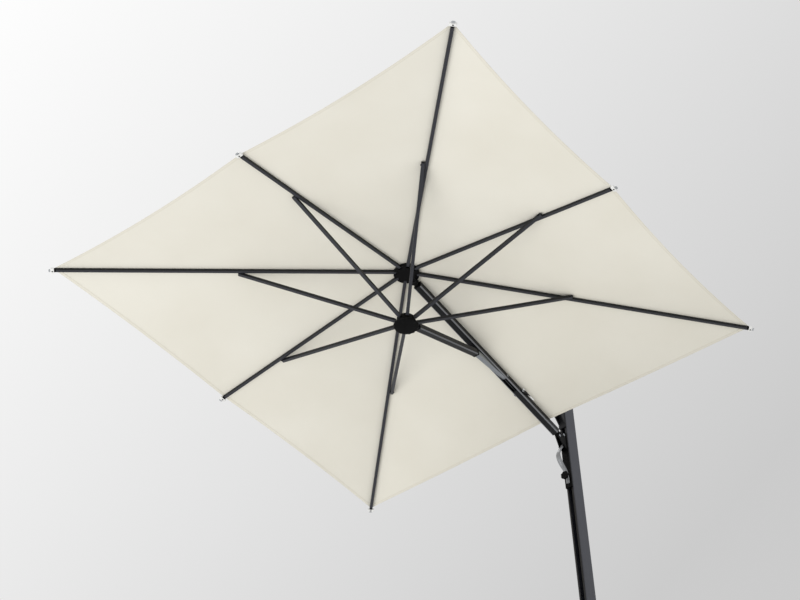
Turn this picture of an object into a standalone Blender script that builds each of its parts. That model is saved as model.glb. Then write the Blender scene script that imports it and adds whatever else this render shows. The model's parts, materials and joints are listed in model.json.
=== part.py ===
"""Cantilever parasol, 3 m square, open: metres, +Z up, origin on the ground on the mast's axis, +X under the canopy.

Each moving group hangs under an empty that sits on its pivot, so the empties repeat the parasol's own linkage:
base, mast, stays, boom, then the slider, the upper hub with its ribs and struts, and the brace with the lower hub.
"""

import math

import bmesh
import bpy
from mathutils import Matrix, Vector, geometry

# Clearances and facets
GAP = 0.0003  # between pieces that touch or turn on each other
RUNNING_GAP = 0.0005  # between the slider and its track
LOOSE_GAP = 0.0015  # between pieces that swing past each other
FACETS = 16
SMALL_FACETS = 10  # on the ribs' pins, eyes and lugs
TURNED_STEPS = 32
WELD = 1e-5  # points closer than this are one
CREASE = math.radians(40)  # sharper edges stay sharp in the shading

# Canopy
CANOPY_SIDE = 3.036
CANOPY_DROP = 0.2368  # from the apex to the edge
FABRIC = 0.0016
VENT_RADIUS = 0.016  # hole in the cloth for the finial's stem
SLIT_START = 1.185  # slits for the stays, measured from the hub towards the mast
SLIT_LENGTH = 0.110

# Ribs, tips and struts
RIB = 0.020
RIB_WALL = 0.0015
RIB_CORNER = 0.003
RIB_ROOT = 0.050  # solid tongue between the hub pin and the tube
RIB_PIVOT_RADIUS = 0.070
STRUT_ON_MID_RIB = 0.960
STRUT_ON_CORNER_RIB = 0.955
STRUT = 0.020
STRUT_PAST = 0.011  # strut past its bolt, before its round end
STRUT_WASHER = 0.0025  # between a rib and the strut bolted to its side
STRUT_WASHER_RADIUS = 0.007
STRUT_BOLT_HEAD = 0.002
STRUT_BOLT_HEAD_RADIUS = 0.005
HUB_PIN_RADIUS = 0.0025
TIP_LENGTH = 0.014
TIP_PLUG = 0.025

# Hubs
HUB_RADIUS = 0.081
HUB_HEIGHT = 0.020
HUB_TOP_DROP = 0.0145  # upper hub's top below the apex
HUB_SLOT_ROOM = 0.0005  # each side of a rib or strut
HUB_SLOT_BOTTOM = 0.058  # radius where the slots end
HUB_SIDE_WALL = 0.004  # how far a pin reaches into the hub past its slot
EAR_THICKNESS = 0.008
EAR_RADIUS = 0.013
ARM_PIVOT_RADIUS = 0.085  # boom and brace pivots from the hub axis
LOWER_PIVOT_DROP = 0.430  # strut pivots below the apex
LOWER_HUB_TOP_DROP = 0.412
LOWER_HUB_HEIGHT = 0.050
LOWER_HUB_RADIUS = 0.058  # inside the struts' round ends
BRACE_PIVOT_DROP = 0.405
COVER_RADIUS = 0.078
COVER_THICKNESS = 0.0097
FINIAL_RADIUS = 0.042
FINIAL_HEIGHT = 0.030
FINIAL_CROWN = 0.0015  # fall from its top to the rim of the flat
FINIAL_STEM_RADIUS = 0.009

# Boom and stays
BOOM_WIDTH = 0.050
BOOM_HEIGHT = 0.045
BOOM_WALL = 0.003
BOOM_CORNER = 0.007
BOOM_CLOTH_GAP = 0.002
BOOM_REACH = 1.108  # stay pin to hub pivot
LINK_PIN_FROM_STAY_PIN = 0.162
BOOM_YOKE = 0.030  # hub pivot to the boom's end
BOOM_KNUCKLE = 0.042  # slider pivot to the boom's end
BOOM_PLUG = 0.070
COLLAR = 0.006
TONGUE = 0.026
TONGUE_EYE = 0.014
KNUCKLE_EYE = 0.018
ARM_PIN_RADIUS = 0.005
BOOM_SLOT_WIDTH = 0.034
BOOM_SLOT_INNER = 0.120  # from the link pin towards the mast
BOOM_SLOT_OUTER = 0.240  # from the link pin towards the hub
STAY_LENGTH = 0.4514
STAY_HEIGHT = 0.022
STAY_THICKNESS = 0.006
PIN_HEAD_RADIUS = 0.009
PIN_HEAD = 0.0035

# Brace and crank link
BRACE_WIDTH = 0.044
BRACE_HEIGHT = 0.040
BRACE_WALL = 0.0025
BRACE_CORNER = 0.006
BRACE_TONGUE = 0.030
CRANK_RUN = 0.3054  # along the boom from the link pin to the elbow
CRANK_CLEARANCE = 0.0101  # between the boom and the brace tube's cap
LINK_WIDTH = 0.030
LINK_HEIGHT = 0.028
LINK_EYE = 0.012
LINK_INSERT = 0.060  # length inside the brace tube
BRACE_CAP = 0.014
BRACE_CAP_LIP = 0.001

# Mast
MAST_DEPTH = 0.118
MAST_WIDTH = 0.056
MAST_WALL = 0.003
MAST_CORNER = 0.008
MAST_TOP = 2.500
TRACK_SLOT = 0.026
CAP_LIP = 0.002
CAP_HEIGHT = 0.018
CAP_PLUG = 0.025
PIVOT_STANDOFF = 0.064  # stay and slider pivots in front of the mast
HEAD_DROP = 0.216  # stay pivot below the mast's top
PIVOT_SPACING = 0.206  # slider pivot below the stay pivot
BRACKET_PLATE = 0.006
BRACKET_BELOW = 0.115  # bracket plate below and above its pivot
BRACKET_ABOVE = 0.045
BRACKET_CHEEK = 0.006
BRACKET_NOSE = 0.014

# Slider
CARRIAGE_PLATE = 0.010
CARRIAGE_WIDTH = 0.052
CARRIAGE_ABOVE = 0.037  # plate above and below the slider pivot
CARRIAGE_BELOW = 0.385
CARRIAGE_CHEEK = 0.007
CHEEK_RADIUS = 0.019
SLIDER_PIN_RADIUS = 0.006
SHOE_DEPTH = 0.018
CHEEK_BOLTS = ((0.026, -0.026), (-0.026, 0.006))  # from the slider pivot: out, up
CHEEK_BOLT_RADIUS = 0.004
CHEEK_NOSE = 0.010  # cheek round the outer bolt
HANDLE_WIDTH = 0.025
HANDLE_THICKNESS = 0.012
HANDLE_SWELL = (1.0, 1.15, 1.4, 1.4, 1.35, 1.2, 1.0, 1.0)  # its size along the bow, as a share of its ends'
HANDLE_BOLT = (-0.026, -0.076)
HANDLE_BOLT_RADIUS = 0.003
HANDLE_BOW = (0.036, -0.178)  # the handle's furthest point out
HANDLE_HEEL_DROP = 0.292  # where the handle comes back to the carriage plate
HANDLE_FOOT_DROP = 0.357
KNOB_DROP = 0.310
KNOB_RADIUS = 0.029
KNOB_DEPTH = 0.022
KNOB_STEM_RADIUS = 0.006
KNOB_STEM = 0.024

# Base and mast foot
BAR_LENGTH = 1.000
BAR_FLANGE = 0.080
BAR_FLANGE_THICKNESS = 0.005
BAR_WEB = 0.006
BAR_HEIGHT = 0.065
SLAB_SIDE = 0.450
SLAB_HEIGHT = 0.050
SLAB_EDGE = 0.006
SLAB_GAP = 0.004
PLATE_SIDE = 0.220
PLATE_THICKNESS = 0.010
PLATE_BOLT_INSET = 0.028
PLATE_BOLT_RADIUS = 0.011
PLATE_BOLT_HEIGHT = 0.008
SPIGOT_RADIUS = 0.025
SPIGOT_HEIGHT = 0.090
FOOT_WALL = 0.018
FOOT_CORNER = 0.020
FOOT_COLLAR_RADIUS = 0.095
FOOT_COLLAR = 0.012
FOOT_FLOOR = 0.010  # between spigot and mast
FOOT_SOCKET = 0.140  # depth that takes the mast
PEDAL_STANDOFF = 0.018  # pedal pivot in front of the foot
PEDAL_RISE = 0.050  # pedal pivot above the foot's underside
PEDAL_PIN_RADIUS = 0.004
PEDAL_EYE = 0.010
PEDAL_WIDTH = 0.024
PEDAL_EAR = 0.006
PEDAL_ARM = 0.105
PEDAL_FALL = 0.012
PEDAL_PAD = (0.045, 0.070, 0.010)

# Worked out from the sizes above
HALF_SIDE = CANOPY_SIDE / 2
MID_SLOPE = math.atan2(CANOPY_DROP, HALF_SIDE)
STAY_PIVOT_HEIGHT = MAST_TOP - HEAD_DROP
STAY_PITCH = math.asin(PIVOT_SPACING / 2 / STAY_LENGTH)
MAST_FRONT = MAST_DEPTH / 2
PIVOT_X = MAST_FRONT + PIVOT_STANDOFF
BOOM_DROP = (BOOM_HEIGHT / 2 + BOOM_CLOTH_GAP) / math.cos(MID_SLOPE)
ARM_PIVOT_DROP = math.tan(MID_SLOPE) * ARM_PIVOT_RADIUS + BOOM_DROP
CRANK_DROP = BOOM_HEIGHT / 2 + CRANK_CLEARANCE + BRACE_CAP_LIP + BRACE_HEIGHT / 2
RIB_DROP = (RIB / 2 + GAP) / math.cos(MID_SLOPE)
RIB_PIVOT_DROP = math.tan(MID_SLOPE) * RIB_PIVOT_RADIUS + RIB_DROP
STRUT_SIDE = RIB / 2 + STRUT_WASHER + STRUT / 2  # strut bolt from the rib's axis, sideways
STRUT_DROP = (STRUT_SIDE + STRUT / 2 - RIB / 2) * math.tan(MID_SLOPE) / math.sqrt(2) + GAP
STRUT_DROP += STRUT_PAST / 2  # and down, so that its end stays under the cloth
STAY_INSIDE = BOOM_WIDTH / 2 + LOOSE_GAP
STAY_OUTSIDE = STAY_INSIDE + STAY_THICKNESS
PLATE_BOTTOM = BAR_HEIGHT + GAP
PLATE_TOP = PLATE_BOTTOM + PLATE_THICKNESS
FOOT_BOTTOM = PLATE_TOP + GAP
MAST_BOTTOM = PLATE_TOP + SPIGOT_HEIGHT + GAP + FOOT_FLOOR
FOOT_TOP = MAST_BOTTOM + FOOT_SOCKET

# Rib numbers run round the hub from the boom, 45 degrees apart; odd ones go to the corners
RIB_NUMBERS = range(1, 8)
EIGHTH = math.pi / 4

# Outline planes: an outline's x and y become the part's x and z, y and z, or x and y
SIDE_ON = Matrix.Rotation(math.pi / 2, 4, "X")
END_ON = Matrix(((0, 0, 1, 0), (1, 0, 0, 0), (0, 1, 0, 0), (0, 0, 0, 1)))
FLAT = Matrix.Identity(4)

# Which way a rod's axis points
AXES = {
    "X": Matrix.Rotation(math.pi / 2, 4, "Y"),
    "Y": Matrix.Rotation(-math.pi / 2, 4, "X"),
    "Z": Matrix.Identity(4),
}


def clear_scene():
    for obj in list(bpy.data.objects):
        bpy.data.objects.remove(obj, do_unlink=True)


def new_collection(name):
    collection = bpy.data.collections.new(name)
    bpy.context.scene.collection.children.link(collection)
    return collection


def new_material(name, colour, roughness, metallic=0.0):
    material = bpy.data.materials.new(name)
    material.use_nodes = True
    shader = material.node_tree.nodes["Principled BSDF"]
    shader.inputs["Base Color"].default_value = (*colour, 1.0)
    shader.inputs["Roughness"].default_value = roughness
    shader.inputs["Metallic"].default_value = metallic
    return material


clear_scene()
PARTS = new_collection("cantilever_parasol")
CUTTERS = new_collection("cutters")
CLOTH = new_material("canopy cloth", (0.76, 0.72, 0.62), 0.85)
DARK_TUBE = new_material("dark coated tube", (0.035, 0.036, 0.040), 0.45, 0.3)
MAST_METAL = new_material("grey coated mast", (0.065, 0.070, 0.080), 0.40, 0.4)
BLACK_PLASTIC = new_material("black plastic", (0.012, 0.012, 0.013), 0.50)
BRIGHT_METAL = new_material("bright metal", (0.62, 0.64, 0.66), 0.30, 1.0)
GRIP_METAL = new_material("grey handle", (0.36, 0.37, 0.38), 0.40, 0.6)
TIP_PLASTIC = new_material("pale plastic", (0.70, 0.70, 0.70), 0.50)
CONCRETE = new_material("concrete", (0.42, 0.41, 0.39), 0.90)
STEEL = new_material("dark steel", (0.030, 0.030, 0.032), 0.50, 0.5)


# Frames

def new_frame(name, parent, location, pitch=0.0, turn=0.0):
    """An empty on a pivot: pitch turns it down about Y, then turn turns it about Z."""
    frame = bpy.data.objects.new(name, None)
    PARTS.objects.link(frame)
    frame.empty_display_size = 0.05
    frame.parent = parent
    frame.location = location
    frame.rotation_euler = (0.0, pitch, turn)
    return frame


def pitched(x, z, pitch):
    """A point in the XZ plane turned about Y."""
    return x * math.cos(pitch) + z * math.sin(pitch), z * math.cos(pitch) - x * math.sin(pitch)


# Outlines

def circle(x, y, radius, facets=FACETS):
    steps = [2 * math.pi * k / facets for k in range(facets)]
    return [(x + radius * math.cos(a), y + radius * math.sin(a)) for a in steps]


def hole(x, y, pin_radius, facets=FACETS):
    """A round hole whose flats stay a gap away from its pin."""
    return circle(x, y, (pin_radius + GAP) / math.cos(math.pi / facets), facets)


def belt(*circles, facets=FACETS):
    """The outline of a belt drawn tight round circles given as (x, y, radius)."""
    points = [Vector(point) for ring in circles for point in circle(*ring, facets)]
    return [tuple(points[k]) for k in geometry.convex_hull_2d(points)]


def rounded(width, height, radius, facets=4):
    """A rectangle round the origin with arcs at its corners."""
    points = []
    for quarter, (sx, sy) in enumerate(((1, 1), (-1, 1), (-1, -1), (1, -1))):
        cx = sx * (width / 2 - radius)
        cy = sy * (height / 2 - radius)
        for k in range(facets + 1):
            angle = (quarter + k / facets) * math.pi / 2
            points.append((cx + radius * math.cos(angle), cy + radius * math.sin(angle)))
    return points


# Shapes

def shape_object(name, mesh):
    shape = bpy.data.objects.new(name, mesh)
    PARTS.objects.link(shape)
    return shape


def evaluated_mesh(shape):
    graph = bpy.context.evaluated_depsgraph_get()
    return bpy.data.meshes.new_from_object(shape.evaluated_get(graph))


def mesh_from_curve(name, curve):
    """A curve's mesh with its caps welded on; the curve is removed."""
    guide = bpy.data.objects.new(name, curve)
    PARTS.objects.link(guide)
    mesh = evaluated_mesh(guide)
    bpy.data.objects.remove(guide, do_unlink=True)
    shell = bmesh.new()
    shell.from_mesh(mesh)
    bmesh.ops.remove_doubles(shell, verts=shell.verts, dist=WELD)
    bmesh.ops.recalc_face_normals(shell, faces=shell.faces)
    shell.to_mesh(mesh)
    shell.free()
    return mesh


def extruded(name, loops, thickness, plane=SIDE_ON, at=(0, 0, 0)):
    """A flat outline with its holes, given a thickness and centred on its plane."""
    curve = bpy.data.curves.new(name, "CURVE")
    curve.dimensions = "2D"
    curve.fill_mode = "BOTH"
    curve.extrude = thickness / 2
    for loop in loops:
        spline = curve.splines.new("POLY")
        spline.points.add(len(loop) - 1)
        for point, (x, y) in zip(spline.points, loop):
            point.co = (x, y, 0.0, 1.0)
        spline.use_cyclic_u = True
    mesh = mesh_from_curve(name, curve)
    mesh.transform(Matrix.Translation(at) @ plane)
    return shape_object(name, mesh)


def box(name, low, high, bevel=0.0):
    low = Vector(low)
    high = Vector(high)
    mesh = bpy.data.meshes.new(name)
    cube = bmesh.new()
    placed = Matrix.LocRotScale((low + high) / 2, None, high - low)
    bmesh.ops.create_cube(cube, size=1.0, matrix=placed)
    cube.to_mesh(mesh)
    cube.free()
    shape = shape_object(name, mesh)
    if bevel:
        edge = shape.modifiers.new("rounded edges", "BEVEL")
        edge.width = bevel
        edge.segments = 2
    return shape


def rod(name, radius, length, axis, at, facets=FACETS):
    mesh = bpy.data.meshes.new(name)
    cylinder = bmesh.new()
    bmesh.ops.create_cone(
        cylinder,
        cap_ends=True,
        segments=facets,
        radius1=radius,
        radius2=radius,
        depth=length,
        matrix=Matrix.Translation(at) @ AXES[axis],
    )
    cylinder.to_mesh(mesh)
    cylinder.free()
    return shape_object(name, mesh)


def turned(name, profile, axis="Z", at=(0, 0, 0), steps=TURNED_STEPS):
    """A profile of (radius, height) points, listed from the top down, turned round an axis."""
    mesh = bpy.data.meshes.new(name)
    edges = [(k, k + 1) for k in range(len(profile) - 1)]
    mesh.from_pydata([(radius, 0.0, height) for radius, height in profile], edges, [])
    shape = shape_object(name, mesh)
    screw = shape.modifiers.new("turned", "SCREW")
    screw.steps = steps
    screw.render_steps = steps
    screw.use_merge_vertices = True
    screw.merge_threshold = WELD
    turned_mesh = evaluated_mesh(shape)
    shape.modifiers.clear()
    turned_mesh.transform(Matrix.Translation(at) @ AXES[axis])
    turned_mesh.shade_smooth()
    turned_mesh.set_sharp_from_angle(angle=CREASE)
    shape.data = turned_mesh
    return shape


def tube(name, width, height, wall, corner, start, end, facets=4):
    """A hollow box section that runs along X from start to end."""
    loops = [
        rounded(width, height, corner, facets),
        rounded(width - 2 * wall, height - 2 * wall, corner - wall, facets),
    ]
    return extruded(name, loops, end - start, END_ON, ((start + end) / 2, 0, 0))


def headed_pin(name, radius, inside):
    """A pin along Y with a head at each end; inside is half the length between its heads."""
    outside = inside + PIN_HEAD
    profile = [
        (0.0, outside),
        (PIN_HEAD_RADIUS, outside),
        (PIN_HEAD_RADIUS, inside),
        (radius, inside),
        (radius, -inside),
        (PIN_HEAD_RADIUS, -inside),
        (PIN_HEAD_RADIUS, -outside),
        (0.0, -outside),
    ]
    return turned(name, profile, "Y", steps=FACETS)


def boolean(shape, operation, tool):
    tool.parent = shape
    PARTS.objects.unlink(tool)
    CUTTERS.objects.link(tool)
    tool.hide_render = True
    tool.display_type = "WIRE"
    step = shape.modifiers.new(operation.lower() + " " + tool.name, "BOOLEAN")
    step.operation = operation
    step.object = tool


def join(shape, *tools):
    for tool in tools:
        boolean(shape, "UNION", tool)


def cut(shape, *tools):
    for tool in tools:
        boolean(shape, "DIFFERENCE", tool)


def fixed(shape):
    """The shape with its modifiers worked into its mesh and its tools removed, to be shared by copies."""
    bpy.context.view_layer.update()
    mesh = evaluated_mesh(shape)
    for tool in list(shape.children):
        bpy.data.objects.remove(tool, do_unlink=True)
    bpy.data.objects.remove(shape, do_unlink=True)
    return mesh


def place(shape, frame, material):
    """Hangs a finished piece under its frame and gives it its material."""
    shape.parent = frame
    shape.data.materials.clear()
    shape.data.materials.append(material)
    return shape


# Base

def base_bar(name, along_y):
    """An inverted T bar, halved into the other where they cross."""
    flange = BAR_FLANGE / 2
    web = BAR_WEB / 2
    section = [
        (-flange, 0.0),
        (flange, 0.0),
        (flange, BAR_FLANGE_THICKNESS),
        (web, BAR_FLANGE_THICKNESS),
        (web, BAR_HEIGHT),
        (-web, BAR_HEIGHT),
        (-web, BAR_FLANGE_THICKNESS),
        (-flange, BAR_FLANGE_THICKNESS),
    ]
    bar = extruded(name, [section], BAR_LENGTH, END_ON)
    half_lap = BAR_FLANGE_THICKNESS + (BAR_HEIGHT - BAR_FLANGE_THICKNESS) / 2
    reach = web + GAP
    over = BAR_FLANGE
    if along_y:
        bar.data.transform(Matrix.Rotation(math.pi / 2, 4, "Z"))
        lap = box(name + "_lap", (-over, -reach, -over), (over, reach, half_lap + GAP))
        flat = flange + GAP
        relief = box(name + "_relief", (-over, -flat, -over), (over, flat, BAR_FLANGE_THICKNESS + GAP))
        cut(bar, lap, relief)
    else:
        cut(bar, box(name + "_lap", (-reach, -over, half_lap), (reach, over, 2 * BAR_HEIGHT)))
    return bar


def ballast_slab(name, sx, sy):
    near = BAR_WEB / 2 + SLAB_GAP
    far = near + SLAB_SIDE
    xs = sorted((sx * near, sx * far))
    ys = sorted((sy * near, sy * far))
    floor = BAR_FLANGE_THICKNESS + GAP
    return box(name, (xs[0], ys[0], floor), (xs[1], ys[1], floor + SLAB_HEIGHT), SLAB_EDGE)


def pivot_plate():
    half = PLATE_SIDE / 2
    plate = box("pivot_plate", (-half, -half, PLATE_BOTTOM), (half, half, PLATE_TOP))
    bolt = half - PLATE_BOLT_INSET
    bolt_middle = PLATE_TOP + PLATE_BOLT_HEIGHT / 2 - PLATE_THICKNESS / 4
    bolt_length = PLATE_BOLT_HEIGHT + PLATE_THICKNESS / 2
    for k, (sx, sy) in enumerate(((1, 1), (-1, 1), (-1, -1), (1, -1))):
        at = (sx * bolt, sy * bolt, bolt_middle)
        join(plate, rod(f"plate_bolt_{k + 1}", PLATE_BOLT_RADIUS, bolt_length, "Z", at, facets=6))
    spigot_length = SPIGOT_HEIGHT + PLATE_THICKNESS / 2
    at = (0, 0, PLATE_TOP + SPIGOT_HEIGHT - spigot_length / 2)
    join(plate, rod("spigot", SPIGOT_RADIUS, spigot_length, "Z", at, TURNED_STEPS))
    return plate


# Mast

def mast_foot():
    depth = MAST_DEPTH + 2 * FOOT_WALL
    width = MAST_WIDTH + 2 * FOOT_WALL
    middle = (FOOT_BOTTOM + FOOT_TOP) / 2
    foot = extruded(
        "mast_foot", [rounded(depth, width, FOOT_CORNER)], FOOT_TOP - FOOT_BOTTOM, FLAT, (0, 0, middle)
    )
    collar_at = (0, 0, FOOT_BOTTOM + FOOT_COLLAR / 2)
    join(foot, rod("foot_collar", FOOT_COLLAR_RADIUS, FOOT_COLLAR, "Z", collar_at, TURNED_STEPS))
    bore_radius = (SPIGOT_RADIUS + GAP) / math.cos(math.pi / TURNED_STEPS)
    bore_length = 2 * SPIGOT_HEIGHT
    bore_at = (0, 0, PLATE_TOP + SPIGOT_HEIGHT + GAP - bore_length / 2)
    cut(foot, rod("spigot_bore", bore_radius, bore_length, "Z", bore_at, TURNED_STEPS))
    socket = rounded(MAST_DEPTH + 2 * GAP, MAST_WIDTH + 2 * GAP, MAST_CORNER)
    socket_at = (0, 0, MAST_BOTTOM - GAP + FOOT_SOCKET)
    cut(foot, extruded("mast_socket", [socket], 2 * FOOT_SOCKET, FLAT, socket_at))
    pivot_x = depth / 2 + PEDAL_STANDOFF
    pivot_z = FOOT_BOTTOM + PEDAL_RISE
    ear = belt((pivot_x, pivot_z, PEDAL_EYE), (depth / 2 - FOOT_WALL / 2, pivot_z, PEDAL_EYE))
    ear_y = PEDAL_WIDTH / 2 + GAP + PEDAL_EAR / 2
    for side in (-1, 1):
        join(foot, extruded("pedal_ear", [ear], PEDAL_EAR, SIDE_ON, (0, side * ear_y, 0)))
    pin_length = 2 * ear_y
    join(foot, rod("pedal_pin", PEDAL_PIN_RADIUS, pin_length, "Y", (pivot_x, 0, pivot_z)))
    return foot


def mast_section():
    """A C section: round the outside from one lip of the track to the other, then back round the inside."""
    lip = TRACK_SLOT / 2
    outer = rounded(MAST_DEPTH, MAST_WIDTH, MAST_CORNER)
    inner = rounded(MAST_DEPTH - 2 * MAST_WALL, MAST_WIDTH - 2 * MAST_WALL, MAST_CORNER - MAST_WALL)
    front = MAST_FRONT
    return [
        (front, lip),
        *outer,
        (front, -lip),
        (front - MAST_WALL, -lip),
        *reversed(inner),
        (front - MAST_WALL, lip),
    ]


def mast_tube():
    middle = (MAST_BOTTOM + MAST_TOP) / 2
    return extruded("mast_tube", [mast_section()], MAST_TOP - MAST_BOTTOM, FLAT, (0, 0, middle))


def mast_cap():
    bottom = MAST_TOP + GAP
    half_x = MAST_DEPTH / 2 + CAP_LIP
    half_y = MAST_WIDTH / 2 + CAP_LIP
    cap = box("mast_cap", (-half_x, -half_y, bottom), (half_x, half_y, bottom + CAP_HEIGHT), CAP_HEIGHT / 3)
    inset = MAST_WALL + RUNNING_GAP
    plug = rounded(MAST_DEPTH - 2 * inset, MAST_WIDTH - 2 * inset, MAST_CORNER - MAST_WALL)
    plug_length = CAP_PLUG + CAP_HEIGHT / 2
    plug_at = (0, 0, bottom + CAP_HEIGHT / 2 - plug_length / 2)
    join(cap, extruded("cap_plug", [plug], plug_length, FLAT, plug_at))
    return cap


def head_bracket():
    """A plate on the mast's front with two cheeks and a pin that the stays hang on."""
    back = MAST_FRONT + GAP
    face = back + BRACKET_PLATE
    low = STAY_PIVOT_HEIGHT - BRACKET_BELOW
    high = STAY_PIVOT_HEIGHT + BRACKET_ABOVE
    half = MAST_WIDTH / 2
    bracket = box("head_bracket", (back, -half, low), (face, half, high))
    root = (back + face) / 2
    edge = BRACKET_PLATE / 4
    cheek = belt(
        (PIVOT_X, STAY_PIVOT_HEIGHT, BRACKET_NOSE),
        (root, low + 2 * BRACKET_NOSE, edge),
        (root, high - BRACKET_NOSE, edge),
    )
    cheek_y = STAY_INSIDE - GAP - BRACKET_CHEEK / 2
    for side in (-1, 1):
        join(bracket, extruded("bracket_cheek", [cheek], BRACKET_CHEEK, SIDE_ON, (0, side * cheek_y, 0)))
    pin = headed_pin("stay_pivot", ARM_PIN_RADIUS, STAY_OUTSIDE + GAP)
    pin.data.transform(Matrix.Translation((PIVOT_X, 0, STAY_PIVOT_HEIGHT)))
    join(bracket, pin)
    return bracket


def lock_pedal():
    """A lever on the foot's pin, with a pad for the shoe; its origin is on the pin."""
    arm_loops = [belt((0, 0, PEDAL_EYE), (PEDAL_ARM, -PEDAL_FALL, PEDAL_EYE / 2)), hole(0, 0, PEDAL_PIN_RADIUS)]
    pedal = extruded("lock_pedal", arm_loops, PEDAL_WIDTH)
    length, width, thickness = PEDAL_PAD
    low = (PEDAL_ARM - length / 2, -width / 2, -PEDAL_FALL - thickness / 2)
    high = (PEDAL_ARM + length / 2, width / 2, -PEDAL_FALL + thickness / 2)
    join(pedal, box("pedal_pad", low, high, thickness / 4))
    return pedal


# Stays and boom

def stay(name, side):
    half = STAY_HEIGHT / 2
    loops = [
        belt((0, 0, half), (STAY_LENGTH, 0, half)),
        hole(0, 0, ARM_PIN_RADIUS),
        hole(STAY_LENGTH, 0, ARM_PIN_RADIUS),
    ]
    return extruded(name, loops, STAY_THICKNESS, SIDE_ON, (0, side * (STAY_INSIDE + STAY_OUTSIDE) / 2, 0))


def boom_tube():
    """Its origin is on the stay pin, and +X runs out to the hub."""
    start = -STAY_LENGTH + BOOM_KNUCKLE
    end = BOOM_REACH - BOOM_YOKE
    boom = tube("boom_tube", BOOM_WIDTH, BOOM_HEIGHT, BOOM_WALL, BOOM_CORNER, start, end)
    slot = BOOM_SLOT_WIDTH / 2
    slot_low = (LINK_PIN_FROM_STAY_PIN - BOOM_SLOT_INNER, -slot, -BOOM_HEIGHT)
    slot_high = (LINK_PIN_FROM_STAY_PIN + BOOM_SLOT_OUTER, slot, -BOOM_HEIGHT / 2 + 2 * BOOM_WALL)
    cut(boom, box("link_slot", slot_low, slot_high))
    pin_hole = (ARM_PIN_RADIUS + GAP) / math.cos(math.pi / FACETS)
    for x in (0.0, LINK_PIN_FROM_STAY_PIN):
        cut(boom, rod("pin_hole", pin_hole, 2 * BOOM_WIDTH, "Y", (x, 0, 0)))
    return boom


def boom_end(name, pivot, end, eye, pin_radius):
    """A plug in the boom's end with a collar against the tube and a tongue out to the pivot."""
    out = math.copysign(1.0, pivot - end)
    inset = BOOM_WALL + GAP
    plug_start = end - out * BOOM_PLUG
    collar_start = end + out * GAP
    collar_end = end + out * COLLAR
    plug_section = rounded(BOOM_WIDTH - 2 * inset, BOOM_HEIGHT - 2 * inset, BOOM_CORNER - BOOM_WALL)
    plug_middle = (plug_start + collar_end) / 2
    plug = extruded(name, [plug_section], abs(collar_end - plug_start), END_ON, (plug_middle, 0, 0))
    collar = rounded(BOOM_WIDTH, BOOM_HEIGHT, BOOM_CORNER)
    collar_middle = ((collar_start + collar_end) / 2, 0, 0)
    collar_length = abs(collar_end - collar_start)
    join(plug, extruded(name + "_collar", [collar], collar_length, END_ON, collar_middle))
    root = end - out * BOOM_PLUG / 4
    tongue = [belt((pivot, 0, eye), (root, 0, eye)), hole(pivot, 0, pin_radius)]
    join(plug, extruded(name + "_tongue", tongue, TONGUE))
    return plug


# Slider

def slider_carriage():
    """Origin on the slider pivot: a plate in front of the mast, a neck into its track and two cheeks."""
    mast_face = -PIVOT_STANDOFF
    back = mast_face + RUNNING_GAP
    face = back + CARRIAGE_PLATE
    half = CARRIAGE_WIDTH / 2
    carriage = box("slider_carriage", (back, -half, -CARRIAGE_BELOW), (face, half, CARRIAGE_ABOVE))
    neck = TRACK_SLOT / 2 - RUNNING_GAP
    neck_back = mast_face - MAST_WALL - RUNNING_GAP / 2
    neck_end = CARRIAGE_WIDTH / 2
    neck_low = (neck_back, -neck, -CARRIAGE_BELOW + neck_end)
    neck_high = ((back + face) / 2, neck, CARRIAGE_ABOVE - neck_end)
    join(carriage, box("track_neck", neck_low, neck_high))
    root = (back + face) / 2
    edge = CARRIAGE_PLATE / 4
    plain = [
        (0, 0, CHEEK_RADIUS),
        (*HANDLE_BOLT, CHEEK_NOSE),
        (root, CARRIAGE_ABOVE / 2, edge),
        (root, HANDLE_BOLT[1] - 2 * CHEEK_NOSE, edge),
    ]
    nose_x, nose_z = CHEEK_BOLTS[0]
    cheek_y = TONGUE / 2 + GAP + CARRIAGE_CHEEK / 2
    for side, circles in ((-1, plain), (1, plain + [(nose_x, nose_z, CHEEK_NOSE)])):
        loops = [belt(*circles), hole(0, 0, SLIDER_PIN_RADIUS)]
        join(carriage, extruded("carriage_cheek", loops, CARRIAGE_CHEEK, SIDE_ON, (0, side * cheek_y, 0)))
    bolt_inside = cheek_y + CARRIAGE_CHEEK / 2 - GAP
    head_at = (nose_x, bolt_inside + PIN_HEAD / 2, nose_z)
    join(carriage, rod("nose_bolt", 2 * CHEEK_BOLT_RADIUS, PIN_HEAD, "Y", head_at))
    for x, z, radius in ((*CHEEK_BOLTS[1], CHEEK_BOLT_RADIUS), (*HANDLE_BOLT, HANDLE_BOLT_RADIUS)):
        bolt = headed_pin("carriage_bolt", radius, bolt_inside)
        bolt.data.transform(Matrix.Translation((x, 0, z)))
        join(carriage, bolt)
    return carriage


def slider_shoe():
    front = -PIVOT_STANDOFF - MAST_WALL - RUNNING_GAP
    half = MAST_WIDTH / 2 - MAST_WALL - RUNNING_GAP
    inset = CARRIAGE_WIDTH / 2
    low = (front - SHOE_DEPTH, -half, -CARRIAGE_BELOW + inset)
    high = (front, half, CARRIAGE_ABOVE - inset)
    return box("slider_shoe", low, high, MAST_CORNER - MAST_WALL)


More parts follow.
